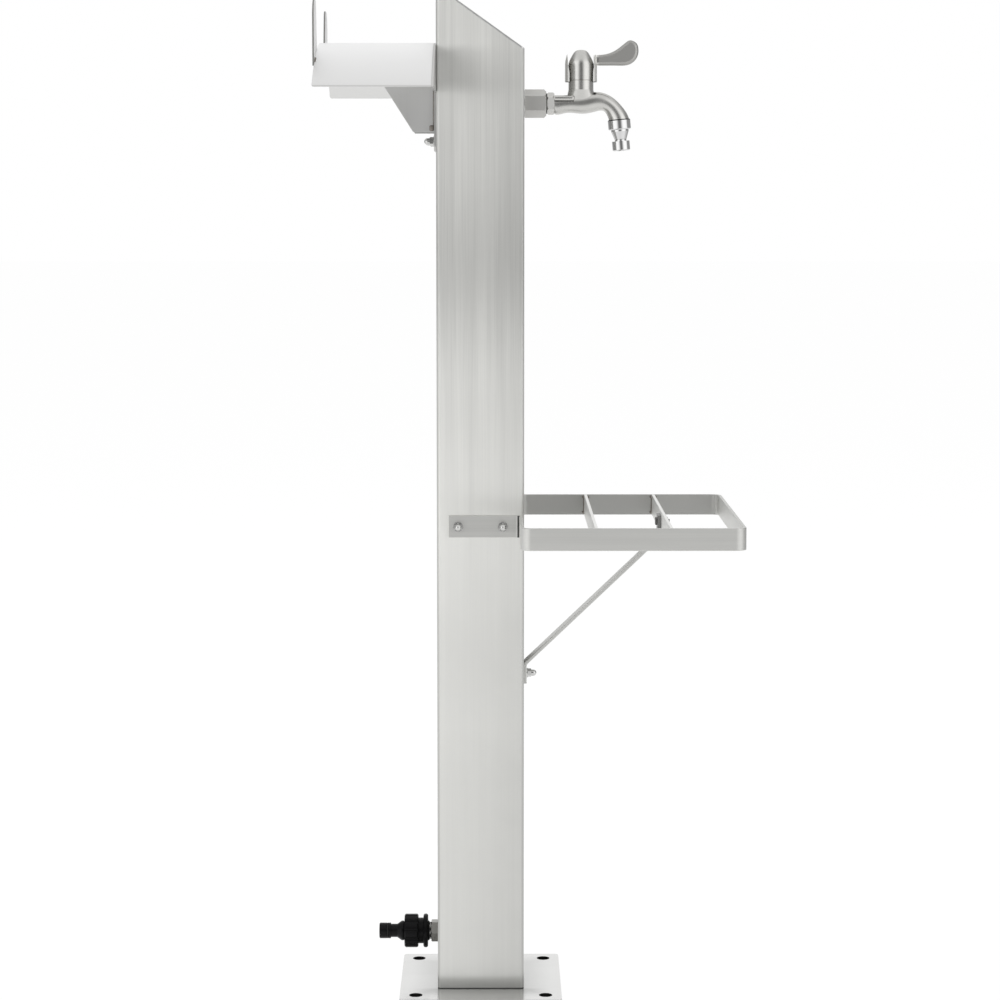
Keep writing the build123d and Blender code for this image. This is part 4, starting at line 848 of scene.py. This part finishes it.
def makeCastRibs():
    s = ribSettings
    bm = bmesh.new()
    middle = (s["start"] + s["end"]) / 2
    radius, length = s["radius"] * mm, (s["end"] - s["start"]) * mm
    for side in (-1, 1):
        place = Matrix.Translation(Vector((middle, side * s["side"], s["height"])) * mm)
        place = place @ Matrix.Rotation(math.radians(90), 4, "Y")
        bmesh.ops.create_cone(bm, cap_ends=True, segments=s["segments"], radius1=radius, radius2=radius,
                              depth=length, matrix=place)
    rims = [edge for edge in bm.edges if any(len(face.verts) > 4 for face in edge.link_faces)]
    bmesh.ops.bevel(bm, geom=rims, offset=s["endRound"] * radius, offset_type="OFFSET",
                    segments=s["roundSegments"], profile=0.5, affect="EDGES", material=-1,
                    clamp_overlap=True)
    smoothShaded(bm)
    addPiece("tap_cast_ribs", bm, "tap")


threadSettings = {
    "start": -46.8, "end": -48.6, "axis": 47.3, "root": 7.6, "crest": 8.2, "turns": 3,
    "steps": 40, "merge": 0.005, "sharpAngle": 30,
}


def makeNippleThread():
    s = threadSettings
    bm = bmesh.new()
    step = (s["end"] - s["start"]) / (2 * s["turns"])
    chain = []
    for number in range(2 * s["turns"] + 1):
        radius = s["crest"] if number % 2 else s["root"]
        chain.append(bm.verts.new(Vector((s["start"] + step * number, 0.0, s["axis"] + radius)) * mm))
    edges = [bm.edges.new(pair) for pair in zip(chain, chain[1:])]
    bmesh.ops.spin(bm, geom=chain + edges, cent=(0.0, 0.0, s["axis"] * mm), axis=(1.0, 0.0, 0.0),
                   angle=math.radians(360), steps=s["steps"], use_merge=True)
    bmesh.ops.remove_doubles(bm, verts=bm.verts, dist=s["merge"] * mm)
    bmesh.ops.recalc_face_normals(bm, faces=bm.faces)
    smoothShaded(bm, s["sharpAngle"])
    addPiece("nipple_thread", bm, "thread")


makeCastRibs()
makeNippleThread()
print("ribs and thread made")


floorSettings = {
    "size": 30.0, "drop": 0.0002, "colour": (0.93, 0.93, 0.93), "glow": 0.90, "strength": 1.04,
    # the floor under the plate is painted dark as shade
    "footprint": 0.0746, "covered": (0.10, 0.10, 0.10), "sweep": (0.35, 4.5),
}
white = (1.0, 1.0, 1.0)


def placeStudio(tree, direction):
    panels = tree.nodes.new("ShaderNodeGroup")
    panels.node_tree = studioGroup
    tree.links.new(direction, panels.inputs["Direction"])
    return panels.outputs["Level"]


# 1 for rays that show the surroundings in gloss or glass
def shinyRay(tree, path):
    return mathNode(tree, "MAXIMUM", path.outputs["Is Glossy Ray"], path.outputs["Is Transmission Ray"])


def makeFloorMaterial():
    s = floorSettings
    material = bpy.data.materials.new("studioFloorWhite")
    material.use_nodes = True
    tree = material.node_tree
    tree.nodes.clear()
    output = tree.nodes.new("ShaderNodeOutputMaterial")
    coordinates = tree.nodes.new("ShaderNodeTexCoord").outputs["Object"]
    split = tree.nodes.new("ShaderNodeSeparateXYZ")
    tree.links.new(coordinates, split.inputs[0])
    x, y = split.outputs["X"], split.outputs["Y"]
    path = tree.nodes.new("ShaderNodeLightPath")
    farthest = mathNode(tree, "MAXIMUM", mathNode(tree, "ABSOLUTE", x), mathNode(tree, "ABSOLUTE", y))
    bare = mathNode(tree, "GREATER_THAN", farthest, s["footprint"])  # 0 under the plate, where the floor is painted dark as shade
    matte = tree.nodes.new("ShaderNodeBsdfDiffuse")
    tree.links.new(mixColour(tree, bare, s["covered"], s["colour"]), matte.inputs["Color"])
    distance = mapRange(tree, distanceFrom(tree, x, y), *s["sweep"], soft=True)
    away = mixColour(tree, distance, white, placeStudio(tree, coordinates))
    glow = tree.nodes.new("ShaderNodeEmission")
    glow.inputs["Strength"].default_value = s["strength"]
    tree.links.new(mixColour(tree, path.outputs["Is Camera Ray"], away, white), glow.inputs["Color"])
    seen = mathNode(tree, "MAXIMUM", path.outputs["Is Camera Ray"], shinyRay(tree, path))
    mix = tree.nodes.new("ShaderNodeMixShader")
    tree.links.new(product(tree, seen, bare, s["glow"]), mix.inputs[0])
    tree.links.new(matte.outputs[0], mix.inputs[1])
    tree.links.new(glow.outputs[0], mix.inputs[2])
    tree.links.new(mix.outputs[0], output.inputs["Surface"])
    return material


def makeFloor():
    bm = bmesh.new()
    bmesh.ops.create_grid(bm, x_segments=1, y_segments=1, size=floorSettings["size"])
    bmesh.ops.translate(bm, verts=bm.verts, vec=(0.0, 0.0, -floorSettings["drop"]))
    mesh = bpy.data.meshes.new("studioFloor")
    bm.to_mesh(mesh)
    bm.free()
    floor = bpy.data.objects.new("studioFloor", mesh)
    bpy.context.scene.collection.objects.link(floor)
    mesh.materials.append(makeFloorMaterial())


# Plain white behind the object, an even fill for matte surfaces and soft panels for gloss
def makeWorld():
    s = studioSettings
    world = bpy.data.worlds.new("studio")
    bpy.context.scene.world = world
    world.use_nodes = True
    tree = world.node_tree
    tree.nodes.clear()
    output = tree.nodes.new("ShaderNodeOutputWorld")
    path = tree.nodes.new("ShaderNodeLightPath")
    direction = tree.nodes.new("ShaderNodeTexCoord").outputs["Generated"]
    split = tree.nodes.new("ShaderNodeSeparateXYZ")
    tree.links.new(direction, split.inputs[0])
    rise = mapRange(tree, split.outputs["Z"], *s["overheadRise"], soft=True)
    around = mixColour(tree, rise, placeStudio(tree, direction), (s["overhead"] * s["level"],) * 3)
    backgrounds = {}
    for label, strength in (("fill", s["fill"]), ("gloss", 1.0), ("seen", 1.0)):
        node = tree.nodes.new("ShaderNodeBackground")
        node.inputs["Color"].default_value = (*white, 1.0)
        node.inputs["Strength"].default_value = strength
        backgrounds[label] = node
    tree.links.new(around, backgrounds["gloss"].inputs["Color"])
    first = tree.nodes.new("ShaderNodeMixShader")
    tree.links.new(shinyRay(tree, path), first.inputs[0])
    tree.links.new(backgrounds["fill"].outputs[0], first.inputs[1])
    tree.links.new(backgrounds["gloss"].outputs[0], first.inputs[2])
    second = tree.nodes.new("ShaderNodeMixShader")
    tree.links.new(path.outputs["Is Camera Ray"], second.inputs[0])
    tree.links.new(first.outputs[0], second.inputs[1])
    tree.links.new(backgrounds["seen"].outputs[0], second.inputs[2])
    tree.links.new(second.outputs[0], output.inputs["Surface"])


lampSettings = {
    "keyLamp": {"place": (-2.4, -2.4, 2.2), "size": (2.2, 2.6), "power": 40.0},
    "sideLamp": {"place": (2.6, -2.2, 1.5), "size": (2.0, 2.6), "power": 26.0},
    "topLamp": {"place": (-0.3, 0.6, 3.4), "size": (3.0, 3.0), "power": 34.0},
}
lampAim = (0.0, 0.0, 0.5)


def makeLamps():
    for lampName, settings in lampSettings.items():
        data = bpy.data.lights.new(lampName, "AREA")
        data.shape = "RECTANGLE"
        data.size, data.size_y = settings["size"]
        data.energy = settings["power"]
        lamp = bpy.data.objects.new(lampName, data)
        bpy.context.scene.collection.objects.link(lamp)
        lamp.location = settings["place"]
        aim = Vector(lampAim) - lamp.location
        lamp.rotation_euler = aim.to_track_quat("-Z", "Y").to_euler()
        lamp.visible_glossy = False  # the panels that metal shows are in the world


cameraSettings = {
    "place": (0.0102, -2.45, 0.734), "pitch": 5.374, "turn": -0.183,
    "focal": 2.6472,  # focal length over the frame's width
    "sensor": 36.0, "lift": -0.05, "farthest": 100.0,
}


def makeCamera():
    s = cameraSettings
    data = bpy.data.cameras.new("photoCamera")
    camera = bpy.data.objects.new("photoCamera", data)
    bpy.context.scene.collection.objects.link(camera)
    data.sensor_width = s["sensor"]
    data.lens = s["focal"] * s["sensor"]
    data.shift_y = s["lift"]
    data.clip_end = s["farthest"]
    camera.location = s["place"]
    camera.rotation_euler = (math.radians(90 - s["pitch"]), 0.0, math.radians(s["turn"]))
    bpy.context.scene.camera = camera


makeFloor()
makeWorld()
makeLamps()
makeCamera()
bpy.context.scene.view_settings.view_transform = "Standard"
print("floor, lamps and camera placed")
